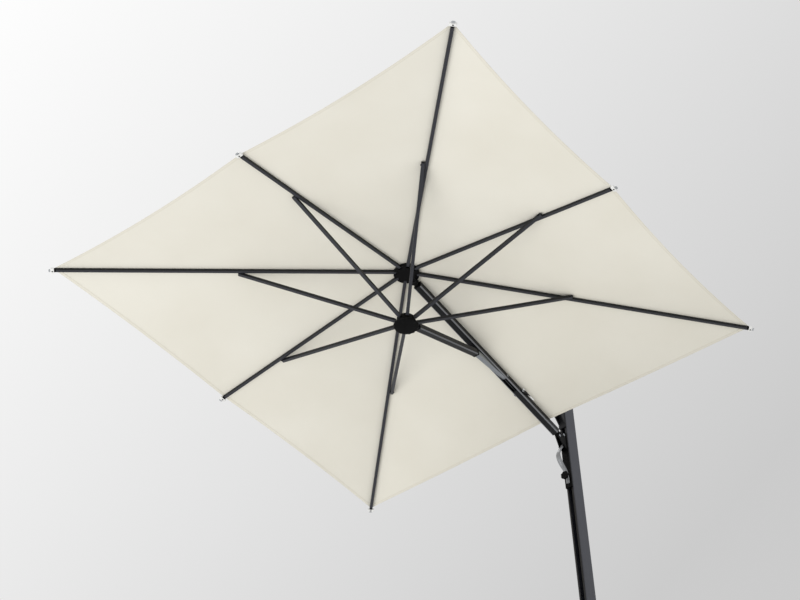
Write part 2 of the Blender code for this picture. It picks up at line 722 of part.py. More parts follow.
def handle():
    """A flat bow: bolted between the cheeks, bent out, and back to a foot on the carriage plate for the knob's stem."""
    bolt_x, bolt_z = HANDLE_BOLT
    half = HANDLE_THICKNESS / 2
    foot_x = -PIVOT_STANDOFF + RUNNING_GAP + CARRIAGE_PLATE + GAP + half
    heel = (foot_x, -HANDLE_HEEL_DROP)

    def share(out, down, start, end):
        return start[0] + out * (end[0] - start[0]), start[1] + down * (end[1] - start[1])

    route = [
        (bolt_x - HANDLE_THICKNESS, bolt_z + 3 * half),
        share(0.65, 0.55, HANDLE_BOLT, HANDLE_BOW),
        HANDLE_BOW,
        share(0.10, 0.30, HANDLE_BOW, heel),
        share(0.37, 0.54, HANDLE_BOW, heel),
        share(0.75, 0.77, HANDLE_BOW, heel),
        heel,
        (foot_x, -HANDLE_FOOT_DROP),
    ]
    curve = bpy.data.curves.new("handle", "CURVE")
    curve.dimensions = "3D"
    curve.bevel_depth = half
    curve.bevel_resolution = 3
    curve.use_fill_caps = True
    curve.resolution_u = 4
    spline = curve.splines.new("BEZIER")
    spline.bezier_points.add(len(route) - 1)
    for point, (x, z), swell in zip(spline.bezier_points, route, HANDLE_SWELL):
        point.co = (x, 0.0, z)
        point.radius = swell
        point.handle_left_type = "AUTO"
        point.handle_right_type = "AUTO"
    for k in (-2, -1):
        point = spline.bezier_points[k]
        point.handle_left_type = "VECTOR"
        point.handle_right_type = "VECTOR"
    mesh = mesh_from_curve("handle", curve)
    mesh.transform(Matrix.Diagonal((1.0, HANDLE_WIDTH / HANDLE_THICKNESS, 1.0, 1.0)))
    grip = shape_object("handle", mesh)
    grip.data.shade_smooth()
    grip.data.set_sharp_from_angle(angle=CREASE)
    bolt_hole = (HANDLE_BOLT_RADIUS + GAP) / math.cos(math.pi / FACETS)
    cut(grip, rod("bolt_hole", bolt_hole, 2 * HANDLE_WIDTH, "Y", (bolt_x, 0, bolt_z)))
    stem_hole = (KNOB_STEM_RADIUS + GAP) / math.cos(math.pi / TURNED_STEPS)
    cut(grip, rod("stem_hole", stem_hole, 4 * HANDLE_THICKNESS, "X", (foot_x, 0, -KNOB_DROP), TURNED_STEPS))
    return grip


def clamp_knob():
    """Origin where its stem meets the carriage plate; it turns about X."""
    back = KNOB_STEM
    front = KNOB_STEM + KNOB_DEPTH
    edge = KNOB_DEPTH / 5
    profile = [
        (0.0, front),
        (KNOB_RADIUS - 2 * edge, front),
        (KNOB_RADIUS - edge / 2, front - edge / 2),
        (KNOB_RADIUS, front - 3 * edge / 2),
        (KNOB_RADIUS, back + edge),
        (KNOB_RADIUS - edge, back),
        (KNOB_STEM_RADIUS, back),
        (KNOB_STEM_RADIUS, 0.0),
        (0.0, 0.0),
    ]
    return turned("clamp_knob", profile, "X")


# Brace

def brace_tube(length, elbow, fall):
    """Origin on the link pin, +X to the lower hub's pivot: a tube from the elbow to a tongue on that pivot."""
    inset = BRACE_WALL / 2
    run = math.hypot(length - elbow[0], elbow[1])
    start = BRACE_CAP / 2
    end = run - BRACE_TONGUE
    brace = tube("brace_tube", BRACE_WIDTH, BRACE_HEIGHT, BRACE_WALL, BRACE_CORNER, start, end)
    plug = rounded(BRACE_WIDTH - 2 * inset, BRACE_HEIGHT - 2 * inset, BRACE_CORNER - inset)
    plug_length = BRACE_TONGUE / 2
    plug_at = (end - plug_length / 2 + inset, 0, 0)
    join(brace, extruded("brace_plug", [plug], plug_length, END_ON, plug_at))
    tongue = [belt((run, 0, TONGUE_EYE), (end - plug_length / 2, 0, TONGUE_EYE)), hole(run, 0, ARM_PIN_RADIUS)]
    join(brace, extruded("brace_tongue", tongue, TONGUE))
    turn = Matrix.Translation((elbow[0], 0, elbow[1])) @ Matrix.Rotation(fall, 4, "Y")
    brace.data.transform(turn)
    for tool in brace.children:
        tool.data.transform(turn)
    return brace


def brace_cap(elbow, fall):
    """A black ring that closes the brace tube round the link."""
    outer = rounded(BRACE_WIDTH + 2 * BRACE_CAP_LIP, BRACE_HEIGHT + 2 * BRACE_CAP_LIP, BRACE_CORNER)
    inner = rounded(LINK_WIDTH + 2 * GAP, LINK_HEIGHT + 2 * GAP, GAP)
    cap = extruded("brace_cap", [outer, inner], BRACE_CAP - 2 * GAP, END_ON)
    cap.data.transform(Matrix.Translation((elbow[0], 0, elbow[1])) @ Matrix.Rotation(fall, 4, "Y"))
    return cap


def crank_link(elbow, fall):
    """A bent bar from inside the brace tube, through its cap, to an eye on the link pin at the origin."""
    bend = Vector(elbow) - Vector((math.cos(fall), -math.sin(fall))) * BRACE_CAP
    along = Vector((math.cos(fall), -math.sin(fall)))
    inner = Vector(elbow) + along * LINK_INSERT
    square = Vector((-along.y, along.x))
    back = bend.normalized()
    back_square = Vector((-back.y, back.x))
    mitre = (square + back_square).normalized()
    reach = LINK_HEIGHT / 2 / mitre.dot(square)
    half = LINK_HEIGHT / 2
    turn = math.atan2(back.y, back.x)
    eye = []
    for k in range(FACETS // 2 + 1):
        angle = turn + math.pi / 2 + math.pi * k / (FACETS // 2)
        eye.append((LINK_EYE * math.cos(angle), LINK_EYE * math.sin(angle)))
    outline = [
        tuple(inner - square * half),
        tuple(inner + square * half),
        tuple(bend + mitre * reach),
        *eye,
        tuple(bend - mitre * reach),
    ]
    return extruded("crank_link", [outline, hole(0, 0, ARM_PIN_RADIUS)], LINK_WIDTH)


# Hubs

def cut_rib_slots(drum, top, height):
    """A slot for each rib, with a pin across it."""
    slot = RIB + 2 * HUB_SLOT_ROOM
    for number in RIB_NUMBERS:
        turn = Matrix.Rotation(math.pi + number * EIGHTH, 4, "Z")
        low = (HUB_SLOT_BOTTOM, -slot / 2, top - 2 * height)
        high = (2 * HUB_RADIUS, slot / 2, top + height)
        groove = box(f"rib_slot_{number}", low, high)
        groove.data.transform(turn)
        cut(drum, groove)
        length = slot + 2 * HUB_SIDE_WALL
        at = (RIB_PIVOT_RADIUS, 0, -RIB_PIVOT_DROP)
        pin = rod(f"rib_pin_{number}", HUB_PIN_RADIUS, length, "Y", at, SMALL_FACETS)
        pin.data.transform(turn)
        join(drum, pin)


def hub(name, radius, top, height, arm_pivot):
    """A drum on the hub axis with two ears and a pin, which take the boom or the brace."""
    drum = rod(name, radius, height, "Z", (0, 0, top - height / 2), 2 * TURNED_STEPS)
    tall = 2 * height
    inside = TONGUE / 2 + GAP
    notch = ARM_PIVOT_RADIUS - TONGUE_EYE - LOOSE_GAP
    cut(drum, box(name + "_notch", (-2 * HUB_RADIUS, -inside, top - tall), (-notch, inside, top + tall)))
    root = (-notch + EAR_RADIUS, top - height / 2, EAR_RADIUS)
    ear = belt((-ARM_PIVOT_RADIUS, arm_pivot, EAR_RADIUS), root)
    ear_y = inside + EAR_THICKNESS / 2
    for side in (-1, 1):
        join(drum, extruded(f"{name}_ear", [ear], EAR_THICKNESS, SIDE_ON, (0, side * ear_y, 0)))
    pin_length = 2 * (inside + EAR_THICKNESS + PIN_HEAD)
    join(drum, rod(f"{name}_arm_pin", ARM_PIN_RADIUS, pin_length, "Y", (-ARM_PIVOT_RADIUS, 0, arm_pivot)))
    return drum


def finial():
    """A turned cap on the cloth's apex, with a stem down to the upper hub."""
    base = FABRIC + GAP
    profile = [
        (0.0, base + FINIAL_HEIGHT),
        (FINIAL_STEM_RADIUS, base + FINIAL_HEIGHT - FINIAL_CROWN),
        (FINIAL_RADIUS / 2, base + FINIAL_HEIGHT / 2),
        (FINIAL_RADIUS, base + FINIAL_HEIGHT / 5),
        (FINIAL_RADIUS, base),
        (FINIAL_STEM_RADIUS, base),
        (FINIAL_STEM_RADIUS, -HUB_TOP_DROP + GAP),
        (0.0, -HUB_TOP_DROP + GAP),
    ]
    return turned("finial", profile)


def hub_cover(top):
    edge = COVER_THICKNESS / 3
    profile = [
        (0.0, top),
        (COVER_RADIUS, top),
        (COVER_RADIUS, top - 2 * edge),
        (COVER_RADIUS - edge, top - COVER_THICKNESS),
        (0.0, top - COVER_THICKNESS),
    ]
    return turned("hub_cover", profile)


# Ribs, tips and struts

def rib_mesh(length, strut_at):
    """Origin on the hub pin, +X to the tip: a tube with a tongue for the hub, and a washer and bolt for the strut."""
    rib = tube("rib", RIB, RIB, RIB_WALL, RIB_CORNER, RIB_ROOT, length - TIP_LENGTH, facets=2)
    inside = RIB - RIB_WALL / 2
    outline = belt((0, 0, inside / 2), (RIB_ROOT + RIB, 0, inside / 2), facets=SMALL_FACETS)
    join(rib, extruded("rib_tongue", [outline, hole(0, 0, HUB_PIN_RADIUS, SMALL_FACETS)], inside))
    start = RIB / 2 - RIB_WALL / 2
    washer_end = RIB / 2 + STRUT_WASHER - GAP
    head_start = STRUT_SIDE + STRUT / 2 + GAP
    head_end = head_start + STRUT_BOLT_HEAD
    for name, radius, near, far in (
        ("strut_washer", STRUT_WASHER_RADIUS, start, washer_end),
        ("strut_bolt", HUB_PIN_RADIUS, start, (head_start + head_end) / 2),
        ("strut_bolt_head", STRUT_BOLT_HEAD_RADIUS, head_start, head_end),
    ):
        at = (strut_at, -(near + far) / 2, -STRUT_DROP)
        join(rib, rod(name, radius, far - near, "Y", at, SMALL_FACETS))
    return fixed(rib)


def tip_mesh():
    """Origin at the rib's tube end, +X outwards: a cap with a plug into the tube."""
    half = RIB / 2
    tip = box("tip", (GAP, -half, -half), (TIP_LENGTH, half, half), RIB_CORNER)
    plug = half - RIB_WALL - GAP
    section = rounded(2 * plug, 2 * plug, RIB_CORNER - RIB_WALL, facets=2)
    plug_length = TIP_PLUG + TIP_LENGTH / 2
    plug_at = (TIP_LENGTH / 2 - plug_length / 2, 0, 0)
    join(tip, extruded("tip_plug", [section], plug_length, END_ON, plug_at))
    return fixed(tip)


def strut_mesh(length):
    """Origin on the rib's bolt, +X to the lower hub: a bar with an eye on the bolt and a round end.

    It starts beside the rib and runs across to end in the rib's own plane.
    """
    half = STRUT / 2
    outline = belt((-STRUT_PAST, 0, half), (math.hypot(length, STRUT_SIDE), 0, half), facets=SMALL_FACETS)
    bar = extruded("strut", [outline, hole(0, 0, HUB_PIN_RADIUS, SMALL_FACETS)], STRUT)
    mesh = fixed(bar)
    mesh.transform(Matrix.Rotation(math.atan2(STRUT_SIDE, length), 4, "Z"))
    return mesh


# Canopy

def canopy_panel(name, hand, slit):
    """Half of one face of the canopy, flat, in its face's frame: x runs down the slope from the apex."""
    slope = HALF_SIDE / math.cos(MID_SLOPE)
    seam = GAP / 2
    ridge = math.atan2(HALF_SIDE, slope)
    seam_at_ridge = seam / math.cos(ridge)
    start = VENT_RADIUS
    rise = HALF_SIDE / slope
    outer = [
        (start, hand * seam),
        (slope, hand * seam),
        (slope, hand * (HALF_SIDE - seam_at_ridge)),
        (start, hand * (start * rise - seam_at_ridge)),
    ]
    loops = [outer]
    if slit:
        near = SLIT_START / math.cos(MID_SLOPE)
        far = near + SLIT_LENGTH
        inner_y = hand * (STAY_INSIDE - LOOSE_GAP)
        outer_y = hand * (STAY_OUTSIDE + LOOSE_GAP)
        loops.append([(near, inner_y), (far, inner_y), (far, outer_y), (near, outer_y)])
    return extruded(name, loops, FABRIC, FLAT, (0, 0, FABRIC / 2))


def build_base():
    base = new_frame("base_frame", None, (0, 0, 0))
    place(base_bar("base_bar_long", False), base, STEEL)
    place(base_bar("base_bar_cross", True), base, STEEL)
    for k, (sx, sy) in enumerate(((1, 1), (-1, 1), (-1, -1), (1, -1))):
        place(ballast_slab(f"ballast_slab_{k + 1}", sx, sy), base, CONCRETE)
    place(pivot_plate(), base, STEEL)
    return base


def build_mast(base):
    mast = new_frame("mast_frame", base, (0, 0, 0))
    place(mast_foot(), mast, STEEL)
    place(mast_tube(), mast, MAST_METAL)
    place(mast_cap(), mast, BLACK_PLASTIC)
    place(head_bracket(), mast, DARK_TUBE)
    pedal_x = MAST_DEPTH / 2 + FOOT_WALL + PEDAL_STANDOFF
    pedal = new_frame("pedal_frame", mast, (pedal_x, 0, FOOT_BOTTOM + PEDAL_RISE))
    place(lock_pedal(), pedal, BLACK_PLASTIC)
    return mast


def build_boom(mast):
    stays = new_frame("stay_frame", mast, (PIVOT_X, 0, STAY_PIVOT_HEIGHT), STAY_PITCH)
    place(stay("stay_left", 1), stays, DARK_TUBE)
    place(stay("stay_right", -1), stays, DARK_TUBE)
    boom = new_frame("boom_frame", stays, (STAY_LENGTH, 0, 0), -2 * STAY_PITCH)
    place(boom_tube(), boom, DARK_TUBE)
    yoke_end = BOOM_REACH - BOOM_YOKE
    place(boom_end("boom_yoke", BOOM_REACH, yoke_end, TONGUE_EYE, ARM_PIN_RADIUS), boom, BLACK_PLASTIC)
    knuckle_end = -STAY_LENGTH + BOOM_KNUCKLE
    knuckle = boom_end("boom_knuckle", -STAY_LENGTH, knuckle_end, KNUCKLE_EYE, SLIDER_PIN_RADIUS)
    place(knuckle, boom, BLACK_PLASTIC)
    place(headed_pin("stay_pin", ARM_PIN_RADIUS, STAY_OUTSIDE + GAP), boom, BRIGHT_METAL)
    link_pin = headed_pin("link_pin", ARM_PIN_RADIUS, BOOM_WIDTH / 2 + GAP)
    link_pin.location = (LINK_PIN_FROM_STAY_PIN, 0, 0)
    place(link_pin, boom, BRIGHT_METAL)
    return boom


def build_slider(boom):
    slider = new_frame("slider_frame", boom, (-STAY_LENGTH, 0, 0), STAY_PITCH)
    place(slider_carriage(), slider, BLACK_PLASTIC)
    place(slider_shoe(), slider, BLACK_PLASTIC)
    pin_inside = TONGUE / 2 + GAP + CARRIAGE_CHEEK + GAP
    place(headed_pin("slider_pin", SLIDER_PIN_RADIUS, pin_inside), slider, BRIGHT_METAL)
    place(handle(), slider, GRIP_METAL)
    plate_face = -PIVOT_STANDOFF + RUNNING_GAP + CARRIAGE_PLATE + GAP
    knob = new_frame("knob_frame", slider, (plate_face, 0, -KNOB_DROP))
    place(clamp_knob(), knob, BLACK_PLASTIC)


def build_upper_hub(boom):
    pivot = new_frame("upper_hub_pivot", boom, (BOOM_REACH, 0, 0), MID_SLOPE)
    apex = new_frame("canopy_apex", pivot, (ARM_PIVOT_RADIUS, 0, ARM_PIVOT_DROP))
    drum = hub("upper_hub", HUB_RADIUS, -HUB_TOP_DROP, HUB_HEIGHT, -ARM_PIVOT_DROP)
    cut_rib_slots(drum, -HUB_TOP_DROP, HUB_HEIGHT)
    place(drum, apex, BLACK_PLASTIC)
    place(finial(), apex, BLACK_PLASTIC)
    return apex


def build_brace(boom):
    """The brace runs from the link pin to the lower hub's pivot, straight below the upper hub's."""
    drop = BRACE_PIVOT_DROP - ARM_PIVOT_DROP
    shift_x, shift_z = pitched(0.0, -drop, MID_SLOPE)
    run_x = BOOM_REACH - LINK_PIN_FROM_STAY_PIN + shift_x
    length = math.hypot(run_x, shift_z)
    pitch = math.atan2(-shift_z, run_x)
    elbow = pitched(CRANK_RUN, -CRANK_DROP, -pitch)
    fall = math.atan2(elbow[1], length - elbow[0])
    brace = new_frame("brace_frame", boom, (LINK_PIN_FROM_STAY_PIN, 0, 0), pitch)
    place(brace_tube(length, elbow, fall), brace, DARK_TUBE)
    place(brace_cap(elbow, fall), brace, BLACK_PLASTIC)
    place(crank_link(elbow, fall), brace, BRIGHT_METAL)
    pivot = new_frame("lower_hub_pivot", brace, (length, 0, 0), MID_SLOPE - pitch)
    apex = new_frame("lower_hub_axis", pivot, (ARM_PIVOT_RADIUS, 0, BRACE_PIVOT_DROP))
    top = -LOWER_HUB_TOP_DROP
    drum = hub("lower_hub", LOWER_HUB_RADIUS, top, LOWER_HUB_HEIGHT, -BRACE_PIVOT_DROP)
    place(drum, apex, BLACK_PLASTIC)
    place(hub_cover(top - LOWER_HUB_HEIGHT - GAP), apex, BLACK_PLASTIC)


def rib_sizes(reach, strut_at, shoulder=0.0):
    """Slope and length of a rib whose tip is reach from the hub axis, and its strut's pitch from it and length.

    Shoulder is how far the cloth falls from a ridge to the rib's sides.
    """
    run = reach - RIB_PIVOT_RADIUS
    fall = CANOPY_DROP + RIB_DROP + shoulder - RIB_PIVOT_DROP
    slope = math.atan2(fall, run)
    x, z = pitched(strut_at, -STRUT_DROP, slope)
    strut_x = -x
    strut_z = RIB_PIVOT_DROP - LOWER_PIVOT_DROP - z
    strut_pitch = math.atan2(-strut_z, strut_x) - slope
    return slope, math.hypot(run, fall), strut_pitch, math.hypot(strut_x, strut_z)


def build_ribs(apex):
    tip = tip_mesh()
    ridge_shoulder = RIB / 2 * math.tan(MID_SLOPE) / math.sqrt(2)
    corner = rib_sizes(math.sqrt(2) * HALF_SIDE, STRUT_ON_CORNER_RIB, ridge_shoulder)
    middle = rib_sizes(HALF_SIDE, STRUT_ON_MID_RIB)
    corner_meshes = rib_mesh(corner[1], STRUT_ON_CORNER_RIB), strut_mesh(corner[3])
    middle_meshes = rib_mesh(middle[1], STRUT_ON_MID_RIB), strut_mesh(middle[3])
    for number in RIB_NUMBERS:
        to_corner = number % 2 == 1
        slope, length, strut_pitch, _ = corner if to_corner else middle
        bar, strut = corner_meshes if to_corner else middle_meshes
        strut_at = STRUT_ON_CORNER_RIB if to_corner else STRUT_ON_MID_RIB
        turn = math.pi + number * EIGHTH
        root = (RIB_PIVOT_RADIUS * math.cos(turn), RIB_PIVOT_RADIUS * math.sin(turn), -RIB_PIVOT_DROP)
        frame = new_frame(f"rib_{number}_frame", apex, root, slope, turn)
        place(shape_object(f"rib_{number}", bar), frame, DARK_TUBE)
        end = place(shape_object(f"rib_tip_{number}", tip), frame, TIP_PLASTIC)
        end.location = (length - TIP_LENGTH, 0, 0)
        strut_frame = new_frame(f"strut_{number}_frame", frame, (strut_at, -STRUT_SIDE, -STRUT_DROP), strut_pitch)
        place(shape_object(f"strut_{number}", strut), strut_frame, DARK_TUBE)


def build_canopy(apex):
    """Two panels to a face, numbered round the hub from the boom."""
    for face in range(4):
        turn = math.pi + face * math.pi / 2
        frame = new_frame(f"canopy_face_{face + 1}", apex, (0, 0, 0), MID_SLOPE, turn)
        for hand in (1, -1):
            number = 2 * face + 1 if hand > 0 else (2 * face - 1) % 8 + 1
            place(canopy_panel(f"canopy_panel_{number}", hand, face == 0), frame, CLOTH)


def main():
    mast = build_mast(build_base())
    boom = build_boom(mast)
    build_slider(boom)
    apex = build_upper_hub(boom)
    build_brace(boom)
    build_ribs(apex)
    build_canopy(apex)


main()
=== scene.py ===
# %% [markdown]
# # Cantilever parasol
# A side-mast parasol with a square canopy, seen from below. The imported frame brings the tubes, hubs,
# pins and base at their true places. This lesson adds what makes it look real: finishes for every piece,
# the cloth as eight sewn panels, hems, seams and clips, and a few turned pieces with rounder shapes.

# %% Load the frame
import json
import math

import bpy
import numpy as np
from mathutils import Matrix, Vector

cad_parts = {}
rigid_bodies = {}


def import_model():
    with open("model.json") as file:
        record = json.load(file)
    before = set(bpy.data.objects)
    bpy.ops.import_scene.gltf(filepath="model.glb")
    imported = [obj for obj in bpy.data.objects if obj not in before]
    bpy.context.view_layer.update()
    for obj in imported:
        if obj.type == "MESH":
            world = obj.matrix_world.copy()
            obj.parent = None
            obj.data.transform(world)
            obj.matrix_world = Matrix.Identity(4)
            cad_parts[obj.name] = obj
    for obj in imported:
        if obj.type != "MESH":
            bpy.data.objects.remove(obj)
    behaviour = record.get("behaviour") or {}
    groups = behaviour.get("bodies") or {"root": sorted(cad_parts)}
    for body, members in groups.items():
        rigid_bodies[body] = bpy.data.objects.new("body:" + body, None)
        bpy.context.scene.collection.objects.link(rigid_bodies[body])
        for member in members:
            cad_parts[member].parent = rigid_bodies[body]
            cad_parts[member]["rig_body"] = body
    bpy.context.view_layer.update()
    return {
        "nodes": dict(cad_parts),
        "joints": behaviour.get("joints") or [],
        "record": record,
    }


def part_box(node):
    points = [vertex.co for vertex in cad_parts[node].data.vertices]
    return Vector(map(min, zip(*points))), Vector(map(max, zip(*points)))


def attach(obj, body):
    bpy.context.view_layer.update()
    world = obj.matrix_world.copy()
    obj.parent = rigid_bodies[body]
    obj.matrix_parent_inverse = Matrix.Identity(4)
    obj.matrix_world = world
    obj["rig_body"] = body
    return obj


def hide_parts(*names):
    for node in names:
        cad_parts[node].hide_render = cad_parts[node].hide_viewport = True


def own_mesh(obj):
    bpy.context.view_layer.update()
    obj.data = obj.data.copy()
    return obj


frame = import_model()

joints = {joint["name"]: joint for joint in frame["joints"]}

# %% [markdown]
# ## Camera
# The picture was taken from far below and to one side with a long lens, so the canopy shows its
# underside. The camera's place and its two directions are real sizes and unit vectors in the parasol's
# own frame. Setting the matrix from three directions is surer than aiming at a point, because the
# picture is also rolled a little.

# %% Camera
CAMERA_PLACE = np.array((8.8422, 5.2343, -5.1020))
CAMERA_FORWARD = np.array((-0.61701, -0.45904, 0.63920))
CAMERA_UP = np.array((0.48218, 0.42140, 0.76807))
LENS_MM = 84.136
SENSOR_MM = 36.0


def unit(vector):
    """A vector divided by its own length."""
    vector = np.asarray(vector, float)
    return vector / np.linalg.norm(vector)


def turned_matrix(right, up, back, place):
    """A 4 by 4 matrix whose columns are three directions and a place."""
    matrix = np.eye(4)
    matrix[:3, :4] = np.column_stack((right, up, back, place))
    return Matrix(matrix.tolist())


camera_right = unit(np.cross(CAMERA_FORWARD, CAMERA_UP))
camera_up = unit(np.cross(camera_right, CAMERA_FORWARD))
camera = bpy.data.objects.new("camera", bpy.data.cameras.new("camera"))
bpy.context.scene.collection.objects.link(camera)
camera.data.lens = LENS_MM
camera.data.sensor_width = SENSOR_MM
camera.matrix_world = turned_matrix(camera_right, camera_up, -unit(CAMERA_FORWARD), CAMERA_PLACE)
bpy.context.scene.camera = camera
print("camera at", CAMERA_PLACE, "lens", LENS_MM)

# %% [markdown]
# ## Colours and nodes
# Colours are written as the eye reads them, in sRGB hex, and one function turns them to the linear light
# that the renderer counts in. One small function adds a node, sets it and links it, so each finish reads
# as a list.

# %% Colour and node helpers
def linear(hex_colour):
    """Each sRGB channel c is c / 12.92 when small, and ((c + 0.055) / 1.055) to the power 2.4 otherwise."""
    srgb = np.array([int(hex_colour[k:k + 2], 16) for k in (1, 3, 5)]) / 255
    light = np.where(srgb <= 0.04045, srgb / 12.92, ((srgb + 0.055) / 1.055) ** 2.4)
    return (*light.tolist(), 1.0)


def add(tree, kind, inputs=None, **settings):
    """Adds a node, sets its own settings, then gives each input a value or a link."""
    made = tree.nodes.new(kind)
    for name, value in settings.items():
        setattr(made, name, value)
    for socket, value in (inputs or {}).items():
        if isinstance(value, bpy.types.NodeSocket):
            tree.links.new(value, made.inputs[socket])
        else:
            made.inputs[socket].default_value = value
    return made


def new_finish(name, **constants):
    """A material with one Principled shader; a constant named base_color sets its socket Base Color."""
    finish = bpy.data.materials.new(name)
    finish.use_nodes = True
    tree = finish.node_tree
    shader = tree.nodes["Principled BSDF"]
    for key, value in constants.items():
        shader.inputs[key.replace("_", " ").title().replace("Ior", "IOR")].default_value = value
    return finish, tree, shader


def period_scale(period):
    """A wave texture repeats every pi / 10 at scale 1, so a period in metres needs this scale."""
    return math.pi / 10 / period


print("mid grey in linear light", linear("#808080"))

# %% [markdown]
# ## Studio
# A plain pale backdrop darkens evenly from the upper left of the picture to the lower right, and soft
# light comes from all round. A broad lamp low on the left gives each rib a faint shadow on the cloth. A
# second one hangs high above the mast, so that the top of the cloth isn't overexposed when the mast is
# turned. The backdrop could be a painted wall, but the world's own shader needs no mesh and catches no
# shadow.

# %% World and lamps
BACKDROP_MIDDLE = 0.770  # linear tone in the middle of the picture
BACKDROP_LEFT, BACKDROP_UP = 0.645, 0.543  # tone gained towards the picture's left and top
BACKDROP_SLOPE = BACKDROP_LEFT * -camera_right + BACKDROP_UP * camera_up
BACKDROP_DARKEST = 0.60
SKY_LIGHT = 0.79  # strength of the soft light
world = bpy.data.worlds.new("studio")
bpy.context.scene.world = world
world.use_nodes = True
sky = world.node_tree
sky.nodes.clear()
direction = add(sky, "ShaderNodeTexCoord").outputs["Generated"]
slope = add(sky, "ShaderNodeVectorMath", {0: direction, 1: BACKDROP_SLOPE.tolist()}, operation="DOT_PRODUCT")
tone = add(sky, "ShaderNodeMath", {0: slope.outputs["Value"], 1: BACKDROP_MIDDLE}, operation="ADD")
tone = add(sky, "ShaderNodeMath", {0: tone.outputs[0], 1: BACKDROP_DARKEST}, operation="MAXIMUM")
tone = add(sky, "ShaderNodeMath", {0: tone.outputs[0], 1: 1.0}, operation="MINIMUM")
seen = add(sky, "ShaderNodeBackground", {"Color": tone.outputs[0], "Strength": 1.0})
soft = add(sky, "ShaderNodeBackground", {"Color": (1.0, 1.0, 1.0, 1.0), "Strength": SKY_LIGHT})
path = add(sky, "ShaderNodeLightPath").outputs
looks = add(sky, "ShaderNodeMath", {0: path["Is Camera Ray"], 1: path["Is Glossy Ray"]}, operation="ADD")
looks = add(sky, "ShaderNodeMath", {0: looks.outputs[0], 1: path["Is Transmission Ray"]}, operation="ADD")
looks.use_clamp = True
both = add(sky, "ShaderNodeMixShader", {0: looks.outputs[0], 1: soft.outputs[0], 2: seen.outputs[0]})
add(sky, "ShaderNodeOutputWorld", {"Surface": both.outputs[0]})
LAMP_SIDE = (0.2, 1.0, 0.1)  # any direction that no lamp shines along


def area_lamp(name, place, aim, size, watts):
    """A square lamp of soft light aimed at a point and hidden from the camera."""
    lamp = bpy.data.lights.new(name, "AREA")
    lamp.size = size
    lamp.energy = watts
    lit = bpy.data.objects.new(name, lamp)
    bpy.context.scene.collection.objects.link(lit)
    back = unit(np.subtract(place, aim))
    right = unit(np.cross(LAMP_SIDE, back))
    lit.matrix_world = turned_matrix(right, np.cross(back, right), back, place)
    lit.visible_camera = False


CANOPY_MIDDLE = (1.7, 0.0, 2.4)
area_lamp("low lamp", place=(10.1, -5.4, -8.7), aim=CANOPY_MIDDLE, size=12.0, watts=945)
area_lamp("high lamp", place=(-1.0, -1.4, 9.0), aim=CANOPY_MIDDLE, size=3.0, watts=150)
bpy.context.scene.view_settings.view_transform = "Standard"
print("backdrop slope", BACKDROP_SLOPE.round(3))

# %% [markdown]
# ## Floor
# The floor is a flat disc worked out from a radius and an angle. Its material fades to nothing between
# two radii, measured from the mast, so no hard edge shows, and its underside is clear, because this
# camera looks up through it. A square plane would do too, but a disc has the round edge that the fade
# follows.

# %% Floor
FLOOR_RADIUS = 2.6
FLOOR_SOLID = 1.1  # radius inside which the floor is opaque
FLOOR_PINHOLE = 0.0005  # radius of its middle, so that no face is a line
FLOOR_SIDES = 96


def new_mesh(name, vertices, faces, uvs=None):
    """Puts an array of points and an array of faces into a mesh; uvs has one pair for each point."""
    mesh = bpy.data.meshes.new(name)
    mesh.from_pydata(np.asarray(vertices, float).reshape(-1, 3), [], [list(face) for face in faces])
    if uvs is not None:
        corner_points = np.empty(len(mesh.loops), np.int32)
        mesh.loops.foreach_get("vertex_index", corner_points)
        layer = mesh.uv_layers.new(name="flat cut")
        layer.data.foreach_set("uv", np.asarray(uvs, np.float32).reshape(-1, 2)[corner_points].ravel())
    mesh.update()
    return mesh


def grid_faces(rows, columns, wrap=False):
    """Four corners of each cell of a grid of points; wrap joins the last column to the first."""
    row, column = np.mgrid[0:rows - 1, 0:columns if wrap else columns - 1]
    after = (column + 1) % columns
    low, high = row * columns, (row + 1) * columns
    corners = (low + column, low + after, high + after, high + column)
    return np.stack([corner.ravel() for corner in corners], axis=1)


def show(name, mesh, finish):
    """An object at the origin for a mesh whose points are already in place."""
    piece = bpy.data.objects.new(name, mesh)
    bpy.context.scene.collection.objects.link(piece)
    mesh.materials.append(finish)
    return piece


floor_turn = np.linspace(0, 2 * np.pi, FLOOR_SIDES, endpoint=False)
floor_radii, floor_angles = np.meshgrid((FLOOR_PINHOLE, FLOOR_RADIUS), floor_turn, indexing="ij")
floor_x, floor_y = floor_radii * np.cos(floor_angles), floor_radii * np.sin(floor_angles)
floor_points = np.stack((floor_x, floor_y, 0 * floor_radii), axis=-1)
floor_finish, tree, shader = new_finish("pale matt floor", base_color=linear("#D2D2D0"), roughness=0.9)
at = add(tree, "ShaderNodeTexCoord").outputs["Object"]
away = add(tree, "ShaderNodeVectorMath", {0: at}, operation="LENGTH").outputs["Value"]
fade = add(tree, "ShaderNodeMapRange", {"Value": away, "From Min": FLOOR_SOLID, "From Max": FLOOR_RADIUS},
           interpolation_type="SMOOTHERSTEP")
clear = add(tree, "ShaderNodeBsdfTransparent")
under = add(tree, "ShaderNodeNewGeometry").outputs["Backfacing"]
unseen = add(tree, "ShaderNodeMath", {0: fade.outputs[0], 1: under}, operation="MAXIMUM")
faded = add(tree, "ShaderNodeMixShader", {0: unseen.outputs[0], 1: shader.outputs[0], 2: clear.outputs[0]})
tree.links.new(faded.outputs[0], tree.nodes["Material Output"].inputs["Surface"])
floor_mesh = new_mesh("floor", floor_points, grid_faces(2, FLOOR_SIDES, wrap=True)[:, ::-1])
floor = show("floor", floor_mesh, floor_finish)
print("floor radius", FLOOR_RADIUS)

